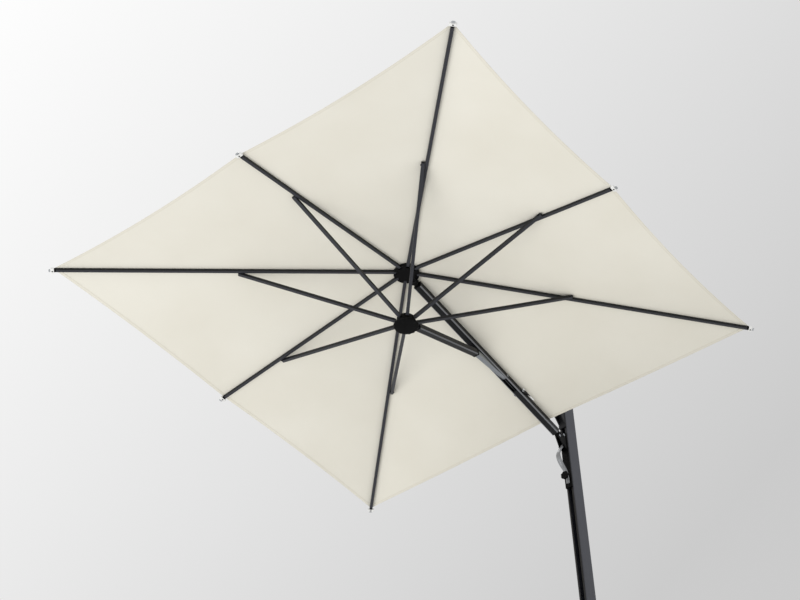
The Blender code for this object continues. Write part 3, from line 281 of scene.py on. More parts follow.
# %% [markdown]
# ## Canopy cloth
# The cloth is solution-dyed polyester in a plain weave, cream, matt and a little soft in its shine. Real
# threads are about half a millimetre apart, too fine to show, so the weave is drawn four times as
# coarse. Broad, faint clouds keep the large panels from looking like paper. A picture of cloth could
# give the pattern, but two waves need no file, keep their scale in millimetres and follow each panel's
# own flat cut.

# %% Woven polyester
THREAD = 0.0022  # drawn spacing
CLOUD = 0.55  # width of a cloud
WEAVE_SHARE = 0.22  # of the weave in the tone; clouds make the rest
CLOTH_ENDS = (0.25, 0.75)  # tones at which the dark and the light colour stand
STITCH = 0.009  # drawn length of a stitch and its gap, twice the real one
STITCH_FILL = 0.62  # share of that length that is thread
STITCH_SIDE = 0.0075  # of each row from the tape's middle
STITCH_ROW = 0.0007  # half width of a row


def woven_polyester(name, dark, light, stitched=False):
    """Two waves at right angles, multiplied, make the weave, and noise makes the clouds.

    Stitches are a step along the tape times a step at each row's distance from its middle.
    """
    finish, tree, shader = new_finish(name, roughness=0.86, sheen_weight=0.12, sheen_roughness=0.45,
                                      specular_ior_level=0.25)
    uv = add(tree, "ShaderNodeTexCoord").outputs["UV"]
    place = add(tree, "ShaderNodeTexCoord").outputs["Object"]
    warp = add(tree, "ShaderNodeTexWave", {"Vector": uv, "Scale": period_scale(THREAD)}, bands_direction="X")
    weft = add(tree, "ShaderNodeTexWave", {"Vector": uv, "Scale": period_scale(THREAD)}, bands_direction="Y")
    weave = add(tree, "ShaderNodeMath", {0: warp.outputs["Fac"], 1: weft.outputs["Fac"]},
                operation="MULTIPLY")
    cloud = add(tree, "ShaderNodeTexNoise",
                {"Vector": place, "Scale": 1 / CLOUD, "Detail": 4.0, "Roughness": 0.45})
    tone = add(tree, "ShaderNodeMix", {"Factor": WEAVE_SHARE, 2: cloud.outputs["Fac"], 3: weave.outputs[0]},
               data_type="FLOAT")
    ramp = add(tree, "ShaderNodeValToRGB", {"Fac": tone.outputs[0]})
    for stop, end, shade in zip(ramp.color_ramp.elements, CLOTH_ENDS, (dark, light)):
        stop.position, stop.color = end, linear(shade)
    colour = ramp.outputs["Color"]
    height = weave.outputs[0]
    if stitched:
        split = add(tree, "ShaderNodeSeparateXYZ", {"Vector": uv})
        dash = add(tree, "ShaderNodeMath", {0: split.outputs["X"], 1: 1 / STITCH}, operation="MULTIPLY")
        dash = add(tree, "ShaderNodeMath", {0: dash.outputs[0]}, operation="FRACT")
        dash = add(tree, "ShaderNodeMath", {0: dash.outputs[0], 1: STITCH_FILL}, operation="LESS_THAN")
        side = add(tree, "ShaderNodeMath", {0: split.outputs["Y"]}, operation="ABSOLUTE")
        line = add(tree, "ShaderNodeMath", {0: side.outputs[0], 1: STITCH_SIDE, 2: STITCH_ROW},
                   operation="COMPARE")
        stitch = add(tree, "ShaderNodeMath", {0: dash.outputs[0], 1: line.outputs[0]}, operation="MULTIPLY")
        mixed = add(tree, "ShaderNodeMix", {"Factor": stitch.outputs[0], 6: colour, 7: linear("#C9C3B2")},
                    data_type="RGBA")
        colour = mixed.outputs[2]
        height = add(tree, "ShaderNodeMath", {0: height, 1: stitch.outputs[0]}, operation="ADD").outputs[0]
    tree.links.new(colour, shader.inputs["Base Color"])
    bump = add(tree, "ShaderNodeBump", {"Height": height, "Strength": 0.18, "Distance": 0.0006})
    tree.links.new(bump.outputs[0], shader.inputs["Normal"])
    return finish


canopy_cloth = woven_polyester("woven polyester, cream", "#E1DDD0", "#E9E6DB")
seam_cloth = woven_polyester("woven polyester tape, cream", "#DDD9CB", "#E6E2D6", stitched=True)
print("cloth thread drawn at", THREAD * 1000, "mm")

# %% [markdown]
# ## Coated metal
# The ribs, struts, boom, brace and stays are aluminium with a dark powder coat: a baked skin with a fine
# orange-peel texture that breaks up its shine. The base bars and the foot are steel under a coarser
# black coat. The lower corners of the boom and the brace, and the underside of the ribs and struts, are
# drawn a little paler, a painted highlight that stands in for light catching them. It could be painted
# on each mesh, but here the way that the skin faces decides it, so the imported meshes need no map.

# %% Powder coats
ORANGE_PEEL = 0.0016  # real grain is about half of this
COAT_PATCHES = 9.0  # per metre
COAT_SPREAD = (-0.06, 0.08)  # of the roughness
RAMP_ENDS = (0.3, 0.7)  # noise values at which the dark and the light colour stand


def powder_coat(name, dark, light, roughness, peel=ORANGE_PEEL, gloss=0.35):
    """Noise at the grain's size lifts the surface; broader noise shifts its colour and roughness a little."""
    finish, tree, shader = new_finish(name, metallic=0.0, specular_ior_level=gloss)
    place = add(tree, "ShaderNodeTexCoord").outputs["Object"]
    grain = add(tree, "ShaderNodeTexNoise", {"Vector": place, "Scale": 1 / peel, "Detail": 2.0})
    patch = add(tree, "ShaderNodeTexNoise",
                {"Vector": place, "Scale": COAT_PATCHES, "Detail": 5.0, "Roughness": 0.6})
    ramp = add(tree, "ShaderNodeValToRGB", {"Fac": patch.outputs["Fac"]})
    for stop, end, shade in zip(ramp.color_ramp.elements, RAMP_ENDS, (dark, light)):
        stop.position, stop.color = end, linear(shade)
    tree.links.new(ramp.outputs["Color"], shader.inputs["Base Color"])
    rough = add(tree, "ShaderNodeMapRange",
                {"Value": grain.outputs["Fac"], "To Min": roughness + COAT_SPREAD[0],
                 "To Max": roughness + COAT_SPREAD[1]})
    tree.links.new(rough.outputs[0], shader.inputs["Roughness"])
    bump = add(tree, "ShaderNodeBump", {"Height": grain.outputs["Fac"], "Strength": 0.25, "Distance": 0.0003})
    tree.links.new(bump.outputs[0], shader.inputs["Normal"])
    return finish


tube_coat = powder_coat("powder-coated aluminium, anthracite", "#0F1012", "#16171A", 0.40, gloss=0.20)
rib_body = powder_coat("powder-coated aluminium, graphite", "#141518", "#1B1C1F", 0.42, gloss=0.25)
base_coat = powder_coat("powder-coated steel, black", "#18181A", "#222225", 0.55, peel=0.0026, gloss=0.4)
# Painted highlight: between these two cosines the coat turns paler, standing in for light catching it.
HIGHLIGHT_FROM, HIGHLIGHT_FULL = 0.70, 0.85  # cosines of about 46 and 32 degrees


def painted_highlight(coat, name, corners, light):
    """A copy of a coat with a painted highlight, paler where the skin faces one of the directions.

    The cosine of the angle between them is the dot product of the skin's normal and the direction.
    """
    finish = coat.copy()
    finish.name = name
    tree = finish.node_tree
    shader = tree.nodes["Principled BSDF"]
    facing = add(tree, "ShaderNodeTexCoord").outputs["Normal"]
    nearest = None
    for corner in corners:
        turn = add(tree, "ShaderNodeVectorMath", {0: facing, 1: corner}, operation="DOT_PRODUCT")
        turn = turn.outputs["Value"]
        nearest = turn if nearest is None else add(
            tree, "ShaderNodeMath", {0: nearest, 1: turn}, operation="MAXIMUM").outputs[0]
    edge = add(tree, "ShaderNodeMapRange", {"Value": nearest, "From Min": HIGHLIGHT_FROM, "From Max": HIGHLIGHT_FULL},
               interpolation_type="SMOOTHSTEP")
    # The paler colour mixed in below is a painted highlight, not a colour of the coat.
    body_colour = shader.inputs["Base Color"].links[0].from_socket
    colour = add(tree, "ShaderNodeMix", {"Factor": edge.outputs[0], 6: body_colour, 7: linear(light)},
                 data_type="RGBA")
    tree.links.new(colour.outputs[2], shader.inputs["Base Color"])
    return finish


def lower_corners(first, second):
    """The two lower corner directions of a tube that runs from one joint to another.

    Down is square to the run and to Y, and each corner is halfway between down and a side.
    """
    run = np.subtract(joints[second]["pos_m"], joints[first]["pos_m"])
    down = -unit(np.cross(run, (0, 1, 0)))
    return [tuple(unit(down + (0, side, 0))) for side in (1, -1)]


# Painted highlights: the underside of the ribs and struts and the lower corners of the boom and brace are
# drawn paler, standing in for light on them.
rib_coat = painted_highlight(rib_body, "powder-coated aluminium, painted underside highlight", [(0.0, 0.0, -1.0)], "#333439")
boom_coat = painted_highlight(tube_coat, "powder-coated aluminium, painted boom highlight",
                       lower_corners("boom_lift", "hub_tip"), "#7C7E82")
brace_coat = painted_highlight(tube_coat, "powder-coated aluminium, painted brace highlight",
                        lower_corners("brace_swing", "lower_hub_tip"), "#6E7074")
print("powder coats:", *(coat.name for coat in (tube_coat, rib_coat, boom_coat, brace_coat, base_coat)))

# %% [markdown]
# ## Mast
# The mast is the same kind of coat on an extrusion, with faint lines drawn by the die and a black track
# down its front. The track could be a second material on chosen faces, but a step along X in the shader
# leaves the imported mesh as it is.

# %% Mast finish
DIE_LINE = 0.0022  # spacing of the lines across the extrusion
DIE_DRIFT = 1.2  # changes of a line per metre of height
TRACK_SKIN = 0.0015  # depth of the black front
_, mast_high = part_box("mast_tube")
TRACK_FACE = mast_high.x - TRACK_SKIN


def extruded_coat(name):
    """Noise stretched along the height makes the die's lines, and a step in X makes the black track face."""
    finish, tree, shader = new_finish(name, specular_ior_level=0.4)
    place = add(tree, "ShaderNodeTexCoord").outputs["Object"]
    long = add(tree, "ShaderNodeMapping", {"Vector": place, "Scale": (1 / DIE_LINE, 1 / DIE_LINE, DIE_DRIFT)})
    line = add(tree, "ShaderNodeTexNoise", {"Vector": long.outputs[0], "Scale": 1.0, "Detail": 2.0})
    grain = add(tree, "ShaderNodeTexNoise", {"Vector": place, "Scale": 1 / ORANGE_PEEL, "Detail": 2.0})
    ramp = add(tree, "ShaderNodeValToRGB", {"Fac": line.outputs["Fac"]})
    for stop, end, shade in zip(ramp.color_ramp.elements, RAMP_ENDS, ("#383A42", "#43454E")):
        stop.position, stop.color = end, linear(shade)
    across = add(tree, "ShaderNodeSeparateXYZ", {"Vector": place})
    front = add(tree, "ShaderNodeMath", {0: across.outputs["X"], 1: TRACK_FACE}, operation="GREATER_THAN")
    colour = add(tree, "ShaderNodeMix",
                 {"Factor": front.outputs[0], 6: ramp.outputs["Color"], 7: linear("#09090A")},
                 data_type="RGBA")
    tree.links.new(colour.outputs[2], shader.inputs["Base Color"])
    rough = add(tree, "ShaderNodeMapRange", {"Value": line.outputs["Fac"], "To Min": 0.36, "To Max": 0.52})
    tree.links.new(rough.outputs[0], shader.inputs["Roughness"])
    both = add(tree, "ShaderNodeMath", {0: grain.outputs["Fac"], 1: line.outputs["Fac"]}, operation="ADD")
    bump = add(tree, "ShaderNodeBump", {"Height": both.outputs[0], "Strength": 0.2, "Distance": 0.0003})
    tree.links.new(bump.outputs[0], shader.inputs["Normal"])
    return finish


mast_coat = extruded_coat("powder-coated aluminium extrusion, slate")
print("mast track face at x =", round(TRACK_FACE, 4))

# %% [markdown]
# ## Moulded plastic
# Hubs, caps, the slider and the plugs in the ribs' ends are glass-filled nylon, black and softly grained
# by their moulds. The blocks at the tips are white nylon and their clips smoke-grey polycarbonate. A
# material could be built for each, but only colour, roughness and gloss differ, so one function makes
# all three.

# %% Plastics
MOULD_GRAIN = 0.0012  # size of a cell
MOULD_FLOW = 24.0  # changes of shade per metre
MOULD_SPREAD = (-0.05, 0.07)  # of the roughness


def moulded_plastic(name, dark, light, roughness, gloss=0.4):
    """Cells at the mould's grain size lift the skin, and slow noise changes its shade."""
    finish, tree, shader = new_finish(name, specular_ior_level=gloss)
    place = add(tree, "ShaderNodeTexCoord").outputs["Object"]
    grain = add(tree, "ShaderNodeTexVoronoi", {"Vector": place, "Scale": 1 / MOULD_GRAIN})
    flow = add(tree, "ShaderNodeTexNoise", {"Vector": place, "Scale": MOULD_FLOW, "Detail": 3.0})
    ramp = add(tree, "ShaderNodeValToRGB", {"Fac": flow.outputs["Fac"]})
    for stop, end, shade in zip(ramp.color_ramp.elements, RAMP_ENDS, (dark, light)):
        stop.position, stop.color = end, linear(shade)
    tree.links.new(ramp.outputs["Color"], shader.inputs["Base Color"])
    rough = add(tree, "ShaderNodeMapRange",
                {"Value": flow.outputs["Fac"], "To Min": roughness + MOULD_SPREAD[0],
                 "To Max": roughness + MOULD_SPREAD[1]})
    tree.links.new(rough.outputs[0], shader.inputs["Roughness"])
    bump = add(tree, "ShaderNodeBump",
               {"Height": grain.outputs["Distance"], "Strength": 0.15, "Distance": 0.0002})
    tree.links.new(bump.outputs[0], shader.inputs["Normal"])
    return finish


black_nylon = moulded_plastic("glass-filled nylon, black", "#060606", "#0B0B0C", 0.48, gloss=0.08)
white_nylon = moulded_plastic("nylon, white", "#E4E4E2", "#EEEEEC", 0.38)
clip_plastic = moulded_plastic("polycarbonate, smoke", "#8F9295", "#B4B7BA", 0.22, gloss=0.5)
print("plastics:", black_nylon.name, white_nylon.name, clip_plastic.name)

# %% [markdown]
# ## Bright metal
# The stay pin, the link pin, the crank link and the bolts on the slider are zinc-plated steel with a
# brushed grain. The slider's pin, the screws, the nuts and the strut bolts are black oxide, and the
# handle is cast aluminium in satin grey. An anisotropic shader could give the brushed look, but noise
# drawn out along one axis shows the lines themselves.

# %% Bright metals
BRUSH_ALONG = 25.0  # changes of a line per metre
BRUSH_SPREAD = (-0.08, 0.10)  # of the roughness


def brushed_metal(name, dark, light, roughness, metallic=1.0, brush=0.0012):
    """Noise drawn out along X makes brush lines in both colour and roughness."""
    finish, tree, shader = new_finish(name, metallic=metallic)
    place = add(tree, "ShaderNodeTexCoord").outputs["Object"]
    long = add(tree, "ShaderNodeMapping", {"Vector": place, "Scale": (BRUSH_ALONG, 1 / brush, 1 / brush)})
    line = add(tree, "ShaderNodeTexNoise", {"Vector": long.outputs[0], "Scale": 1.0, "Detail": 3.0})
    ramp = add(tree, "ShaderNodeValToRGB", {"Fac": line.outputs["Fac"]})
    for stop, end, shade in zip(ramp.color_ramp.elements, RAMP_ENDS, (dark, light)):
        stop.position, stop.color = end, linear(shade)
    tree.links.new(ramp.outputs["Color"], shader.inputs["Base Color"])
    rough = add(tree, "ShaderNodeMapRange",
                {"Value": line.outputs["Fac"], "To Min": roughness + BRUSH_SPREAD[0],
                 "To Max": roughness + BRUSH_SPREAD[1]})
    tree.links.new(rough.outputs[0], shader.inputs["Roughness"])
    bump = add(tree, "ShaderNodeBump", {"Height": line.outputs["Fac"], "Strength": 0.12, "Distance": 0.0002})
    tree.links.new(bump.outputs[0], shader.inputs["Normal"])
    return finish


zinc_steel = brushed_metal("zinc-plated steel, brushed", "#8F9398", "#ABAFB4", 0.36)
grip_metal = brushed_metal("cast aluminium, satin grey", "#85878A", "#95979A", 0.42, metallic=0.35,
                           brush=0.003)
black_oxide = brushed_metal("steel, black oxide", "#17181A", "#242528", 0.42)
print("metals:", zinc_steel.name, grip_metal.name, black_oxide.name)

# %% [markdown]
# ## Concrete
# The ballast is cast concrete with sand, pores and water marks. Displaced geometry could make the pores,
# but they are small and shallow beside the slab, so a bump and painted shade in each pore are enough.

# %% Concrete
SAND = 0.003  # size of a grain
SAND_SHARE = 0.35  # of the sand in the tone; water marks make the rest
WATER_MARKS = 5.0  # per metre
PORE = 0.016  # spacing
# Painted shade in the pores: full up to the first distance, gone at the second.
PIT_AND_SHADE_EDGE = (0.10, 0.20)  # from a pore's middle, in spacings: dark up to the first, gone at the second


def cast_concrete(name):
    """Fine noise for sand, broad noise for water marks, and cell centres for air pores: a bump, and painted
    shade.
    """
    finish, tree, shader = new_finish(name, specular_ior_level=0.3)
    place = add(tree, "ShaderNodeTexCoord").outputs["Object"]
    sand = add(tree, "ShaderNodeTexNoise", {"Vector": place, "Scale": 1 / SAND, "Detail": 3.0})
    mark = add(tree, "ShaderNodeTexNoise",
               {"Vector": place, "Scale": WATER_MARKS, "Detail": 6.0, "Roughness": 0.6})
    pore = add(tree, "ShaderNodeTexVoronoi", {"Vector": place, "Scale": 1 / PORE})
    pit_and_shade = add(tree, "ShaderNodeMapRange",
              {"Value": pore.outputs["Distance"], "From Min": PIT_AND_SHADE_EDGE[0], "From Max": PIT_AND_SHADE_EDGE[1]})
    tone = add(tree, "ShaderNodeMix", {"Factor": SAND_SHARE, 2: mark.outputs["Fac"], 3: sand.outputs["Fac"]},
               data_type="FLOAT")
    ramp = add(tree, "ShaderNodeValToRGB", {"Fac": tone.outputs[0]})
    for stop, end, shade in zip(ramp.color_ramp.elements, RAMP_ENDS, ("#8B877F", "#B3AFA6")):
        stop.position, stop.color = end, linear(shade)
    # Painted shade: each pore's middle is mixed towards this dark colour, standing in for the shade inside
    # the hole.
    colour = add(tree, "ShaderNodeMix",
                 {"Factor": pit_and_shade.outputs[0], 6: linear("#5F5C56"), 7: ramp.outputs["Color"]},
                 data_type="RGBA")
    tree.links.new(colour.outputs[2], shader.inputs["Base Color"])
    rough = add(tree, "ShaderNodeMapRange", {"Value": sand.outputs["Fac"], "To Min": 0.8, "To Max": 0.95})
    tree.links.new(rough.outputs[0], shader.inputs["Roughness"])
    height = add(tree, "ShaderNodeMath", {0: pit_and_shade.outputs[0], 1: sand.outputs["Fac"]}, operation="ADD")
    bump = add(tree, "ShaderNodeBump", {"Height": height.outputs[0], "Strength": 0.4, "Distance": 0.0012})
    tree.links.new(bump.outputs[0], shader.inputs["Normal"])
    return finish


concrete = cast_concrete("cast concrete, grey")
print("concrete pores", PORE * 1000, "mm apart")

# %% [markdown]
# ## Finishes on the frame
# Every solid of the frame names a material slot in its record. One table turns each slot into a finish,
# so no solid keeps its plain packed colour. A few solids then get a finish of their own, where one slot
# has two looks.

# %% Paint the frame
RIBS = range(1, 8)  # the boom takes the eighth rib's place
FINISH_OF_SLOT = {
    "cloth": canopy_cloth,
    "coated_tube": tube_coat,
    "mast_tube": mast_coat,
    "black_plastic": black_nylon,
    "bright_metal": zinc_steel,
    "handle": grip_metal,
    "tip_plastic": white_nylon,
    "ballast": concrete,
    "base_steel": base_coat,
}
for part in frame["record"]["subparts"]:
    mesh = frame["nodes"][part["node"]].data
    mesh.materials.clear()
    mesh.materials.append(FINISH_OF_SLOT[part["material_slot"]])
frame["nodes"]["slider_pin"].data.materials[0] = black_oxide
# The boom and brace take coats with painted edge highlights, the ribs and struts one with a painted underside
# highlight.
frame["nodes"]["boom_tube"].data.materials[0] = boom_coat
frame["nodes"]["brace_tube"].data.materials[0] = brace_coat
for number in RIBS:
    frame["nodes"][f"rib_tip_{number}"].data.materials[0] = black_nylon
    for kind in ("rib", "strut"):
        frame["nodes"][f"{kind}_{number}"].data.materials[0] = rib_coat

# %% [markdown]
# ## The hub's own axes
# The canopy is tilted, so its pieces are worked out in the hub's axes and then turned into the frame's.
# Two ribs' hinge axes give the hub's X and Y, and the middle between two opposite rib hinges gives its
# centre. The cloth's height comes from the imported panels' lowest edge and the fall of the cloth. Each
# rib has three directions of its own, from its hinge and its packed tip. All of these could be typed in
# as numbers, but read from the frame they stay right when the part is packed again.

# %% Hub axes
CANOPY_HALF = 1.518  # half of the canopy's side
CANOPY_DROP = 0.2368  # fall of the cloth from the apex to the hem
hub_x = unit(joints["rib_2_fold"]["axis"])
hub_y = unit(joints["rib_4_fold"]["axis"])
hub_z = np.cross(hub_x, hub_y)
hub_axes = np.stack((hub_x, hub_y, hub_z))
rib_centre = (np.array(joints["rib_2_fold"]["pos_m"]) + np.array(joints["rib_6_fold"]["pos_m"])) / 2


def node_points(name):
    """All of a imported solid's corners as an array."""
    mesh = frame["nodes"][name].data
    points = np.empty(len(mesh.vertices) * 3, np.float32)
    mesh.vertices.foreach_get("co", points)
    return points.reshape(-1, 3).astype(float)


def rib_axes(number):
    """Out along the rib, sideways along its hinge, and up; with the place of the rib's outer end."""
    hinge = joints[f"rib_{number}_fold"]
    start, side = np.array(hinge["pos_m"]), unit(hinge["axis"])
    tip = node_points(f"rib_tip_{number}") - start
    out = tip.mean(axis=0)
    out = unit(out - side * (out @ side))
    return out, side, np.cross(out, side), start + out * (tip @ out).max()


panel_heights = (node_points("canopy_panel_3") - rib_centre) @ hub_z
apex = rib_centre + hub_z * (panel_heights.min() + CANOPY_DROP)


def in_frame(points):
    """Points in the hub's axes, from the apex, turned into the frame."""
    return apex + np.asarray(points) @ hub_axes


print("canopy apex at", apex.round(4), "hub axis", hub_z.round(4))

# %% [markdown]
# ## Canopy panels
# The canopy is cut as eight triangles, sewn edge to edge over the ribs. Each one is a surface of two
# parameters: down the slope from the apex to the hem, and across from the middle of a side to a corner.
# Tension pulls the hem inwards between two tips, the cloth's weight makes a shallow belly between two
# ribs, and fine creases run in to each tip. A cloth simulation could find such a shape, but with a
# formula the edges of two neighbours agree, so at rest the cloth is one skin, open only round the finial
# and at the stays' slits.
#
# When the canopy closes, every rib takes the cloth beside it along. So a panel between two ribs is made
# in two parts that meet on its bisector, each part rides on its own rib, and a small round crown stays
# on the hub.

# %% Panel surface
CLOTH_THICKNESS = 0.0012
CLOTH_LIFT = 0.0008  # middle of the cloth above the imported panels' underside
VENT = 0.017  # hole round the finial's stem
CROWN = 0.070  # radius of the cloth that stays on the hub
BELLY = 0.016  # depth at the hem, midway between two ribs
HEM_PULL = 0.024  # of the hem inwards, midway between two tips
FREE_PULL = 0.024  # the same in the middle of the side over the boom
CORNER_PULL = 0.003  # past the rib's end at each corner
CREASE = 0.0011  # height
CREASE_START, CREASE_REACH = 0.06, 0.30  # from a tip, they rise in the first and fade over the second
CREASE_WAVES = 9  # in a full turn round a tip
CREASE_EDGE = 12  # how steeply creases rise from a panel's edge
SLIT_START, SLIT_END = 1.185, 1.293  # for the stays, from the hub towards the mast
SLIT_INSIDE, SLIT_OUTSIDE = 0.0252, 0.0338  # sideways from the boom's middle
SLIT_FLARE = 0.35  # nearer to the apex than this, the slit's columns run in to the middle
BISECTOR = math.tan(math.pi / 8)  # share on the line halfway between two ribs
PANEL_ROWS, PART_COLUMNS, SPREAD_COLUMNS = 61, 29, 49
TINY = 1e-6


def hem_line(share, free=False):
    """The hem's distance from the apex, at a share of the way from mid-side to corner: a shallow parabola.

    The side over the boom has no tip in its middle, so its hem is free and its parabola is deepest there.
    The sixth power of the share draws each corner out to a point.
    """
    pull = FREE_PULL * (1 - share**2) if free else HEM_PULL * 4 * share * (1 - share)
    return CANOPY_HALF - pull + CORNER_PULL * share**6


def cloth_height(out, share):
    """Fall of the flat face, less a belly that is deepest at the hem, plus creases that fade from a tip."""
    along = out / CANOPY_HALF
    belly = BELLY * 4 * share * (1 - share) * along**2
    side = out * share
    height = -CANOPY_DROP * along - belly
    for tip_side in (0.0, CANOPY_HALF):
        run = np.hypot(CANOPY_HALF - out, side - tip_side)
        angle = np.arctan2(np.abs(side - tip_side), CANOPY_HALF - out + TINY)
        fade = np.exp(-run / CREASE_REACH) * np.clip(run / CREASE_START, 0, 1)
        fade = fade * np.clip(share * (1 - share) * CREASE_EDGE, 0, 1)
        height = height + CREASE * np.sin(CREASE_WAVES * angle) * fade
    return height + CLOTH_LIFT


def face_points(face, hand, out, side, height):
    """A face's own out, side and height, turned about the hub to that face and moved into the frame."""
    turn = math.pi + face * math.pi / 2
    x = out * math.cos(turn) - hand * side * math.sin(turn)
    y = out * math.sin(turn) + hand * side * math.cos(turn)
    return in_frame(np.stack((x, y, height), axis=-1))


def crown_line(share):
    """The panel's start, a circle round the apex: its distance out is the radius times the angle's cosine."""
    return CROWN / np.sqrt(1 + share**2)


def panel_grid(low, high):
    """Out and share for each point: rows run from the crown to the hem, columns between two shares."""
    down, share = np.meshgrid(np.linspace(0, 1, PANEL_ROWS), np.linspace(low, high, PART_COLUMNS),
                              indexing="ij")
    return crown_line(share) + (hem_line(share) - crown_line(share)) * down, share


def slit_grid():
    """The same over the boom, where two columns keep a fixed distance from its middle for the stays' slit."""
    marks = np.array((SLIT_START, SLIT_END))
    rows = np.sort(np.concatenate((np.linspace(CROWN, CANOPY_HALF, PANEL_ROWS), marks)))[:, None]
    near = np.minimum(rows / SLIT_FLARE, 1.0)
    lips = near * np.array((SLIT_INSIDE, SLIT_OUTSIDE))
    spread = lips[:, 1:] + (rows - lips[:, 1:]) * np.linspace(0, 1, SPREAD_COLUMNS)[1:]
    share = np.concatenate((0 * near, lips, spread), axis=1) / rows
    down = (rows - CROWN) / (CANOPY_HALF - CROWN)
    return crown_line(share) + (hem_line(share, free=True) - crown_line(share)) * down, share


print("hem at mid-side", hem_line(0.0), "at the corner", hem_line(1.0))


def gather(piece, number):
    """Rides a cloth piece on a rib and gives it a mesh of its own.
    """
    _, side, up, _ = rib_axes(number)
    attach(piece, f"rib_{number}")
    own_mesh(piece)
    return piece


def thicken(piece, thickness):
    """Gives a surface a wall, half to each side.

    Edges with one face are marked sharp, so that the wall's rim doesn't shade the cloth.
    """
    mesh = piece.data
    edge_of_corner = np.empty(len(mesh.loops), np.int32)
    mesh.loops.foreach_get("edge_index", edge_of_corner)
    rim = mesh.attributes.new("sharp_edge", "BOOLEAN", "EDGE")
    rim.data.foreach_set("value", np.bincount(edge_of_corner, minlength=len(mesh.edges)) == 1)
    wall = piece.modifiers.new("cloth thickness", "SOLIDIFY")
    wall.thickness = thickness
    wall.offset = 0.0
    return piece


# %% Cut panels
parts = {}
for number in range(1, 9):
    face, hand = number // 2 % 4, 1 if number % 2 else -1
    corner_rib = (2 * face + hand) % 8
    if face == 0:
        cuts = (("free", corner_rib, -hand, 0.0, 1.0),)
    else:
        cuts = (("mid", 2 * face, hand, 0.0, BISECTOR), ("corner", corner_rib, -hand, BISECTOR, 1.0))
    for kind, rib, rib_hand, low, high in cuts:
        out, share = panel_grid(low, high) if face else slit_grid()
        faces = grid_faces(*out.shape)
        if face == 0:
            first, last = np.searchsorted(out[:, 0], (SLIT_START - TINY, SLIT_END - TINY))
            row, column = np.mgrid[0:out.shape[0] - 1, 0:out.shape[1] - 1]
            faces = faces[~((column == 1) & (row >= first) & (row < last)).ravel()]
        points = face_points(face, hand, out, out * share, cloth_height(out, share))
        name = f"canopy_cloth_{number}_{kind}"
        flat = np.stack((out, out * share), axis=-1)
        mesh = new_mesh(name, points, faces if hand > 0 else faces[:, ::-1], flat)
        mesh.shade_smooth()
        panel = gather(thicken(show(name, mesh, canopy_cloth), CLOTH_THICKNESS), rib)
        node = f"canopy_panel_{number}"
        if frame["nodes"][node]["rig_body"] == f"rib_{rib}":
            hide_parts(node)
        parts[name] = {"panel": panel, "rib": rib, "rib_hand": rib_hand, "kind": kind, "face": face,
                       "hand": hand, "shares": (low, high), "bands": []}
print("cloth parts:", len(parts), "on eight panels")

# %% [markdown]
# ## Crown
# A small round of cloth lies on the hub, with a hole for the finial's stem. A filled circle would be
# flat, so it is a grid of radius and angle whose height comes from the panels' own formula, and its rim
# meets theirs.

# %% Crown
CROWN_RINGS, CROWN_SIDES = 7, 64
crown_turn = np.linspace(0, 2 * np.pi, CROWN_SIDES, endpoint=False)
crown_radius, crown_angle = np.meshgrid(np.linspace(VENT, CROWN, CROWN_RINGS), crown_turn, indexing="ij")
crown_east, crown_north = np.abs(np.cos(crown_angle)), np.abs(np.sin(crown_angle))
crown_out = crown_radius * np.maximum(crown_east, crown_north)
crown_share = np.minimum(crown_east, crown_north) / np.maximum(crown_east, crown_north)
crown_points = in_frame(np.stack((crown_radius * np.cos(crown_angle), crown_radius * np.sin(crown_angle),
                                  cloth_height(crown_out, crown_share)), axis=-1))
crown_mesh = new_mesh("canopy_crown", crown_points, grid_faces(CROWN_RINGS, CROWN_SIDES, wrap=True)[:, ::-1],
                      np.stack((crown_radius, crown_angle * CROWN), axis=-1))
crown_mesh.shade_smooth()
crown = thicken(show("canopy_crown", crown_mesh, canopy_cloth), CLOTH_THICKNESS)
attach(crown, "upper_hub")
print("crown radius", CROWN)

# %% [markdown]
# ## Hems and seam tapes
# A folded hem runs along each panel's outer edge, under the cloth, and a sewn tape covers each seam from
# above. Both are bands of the same cloth: one parameter runs along the band and one across it. Their
# heights come from the panel's own formula, so they lie on the cloth everywhere. They stop short of the
# tips, where the blocks are. A stripe drawn on the panel would be simpler, but a band has an edge and a
# thickness of its own.

# %% Bands
TAPE = 0.020
TAPE_THICKNESS = 0.0010
BAND_ON_CLOTH = CLOTH_THICKNESS / 2 + TAPE_THICKNESS / 2
HEM_ENDS = 0.022  # share of a hem left bare at each tip
TAPE_START = 0.075
TAPE_END, FREE_TAPE_END = 0.012, 0.002  # short of a tip, and of the free hem
HEM_ROWS, TAPE_ROWS, BAND_COLUMNS = 49, 73, 7
band_across = np.linspace(-1, 1, BAND_COLUMNS)


def band(name, points, along, upward):
    """A strip of tape from a grid of points, one row for each step along, thickened."""
    faces = grid_faces(*points.shape[:2])
    uvs = np.stack(np.broadcast_arrays(along, band_across * TAPE / 2), axis=-1)
    mesh = new_mesh(name, points, faces[:, ::-1] if upward else faces, uvs)
    mesh.shade_smooth()
    return thicken(show(name, mesh, seam_cloth), TAPE_THICKNESS)


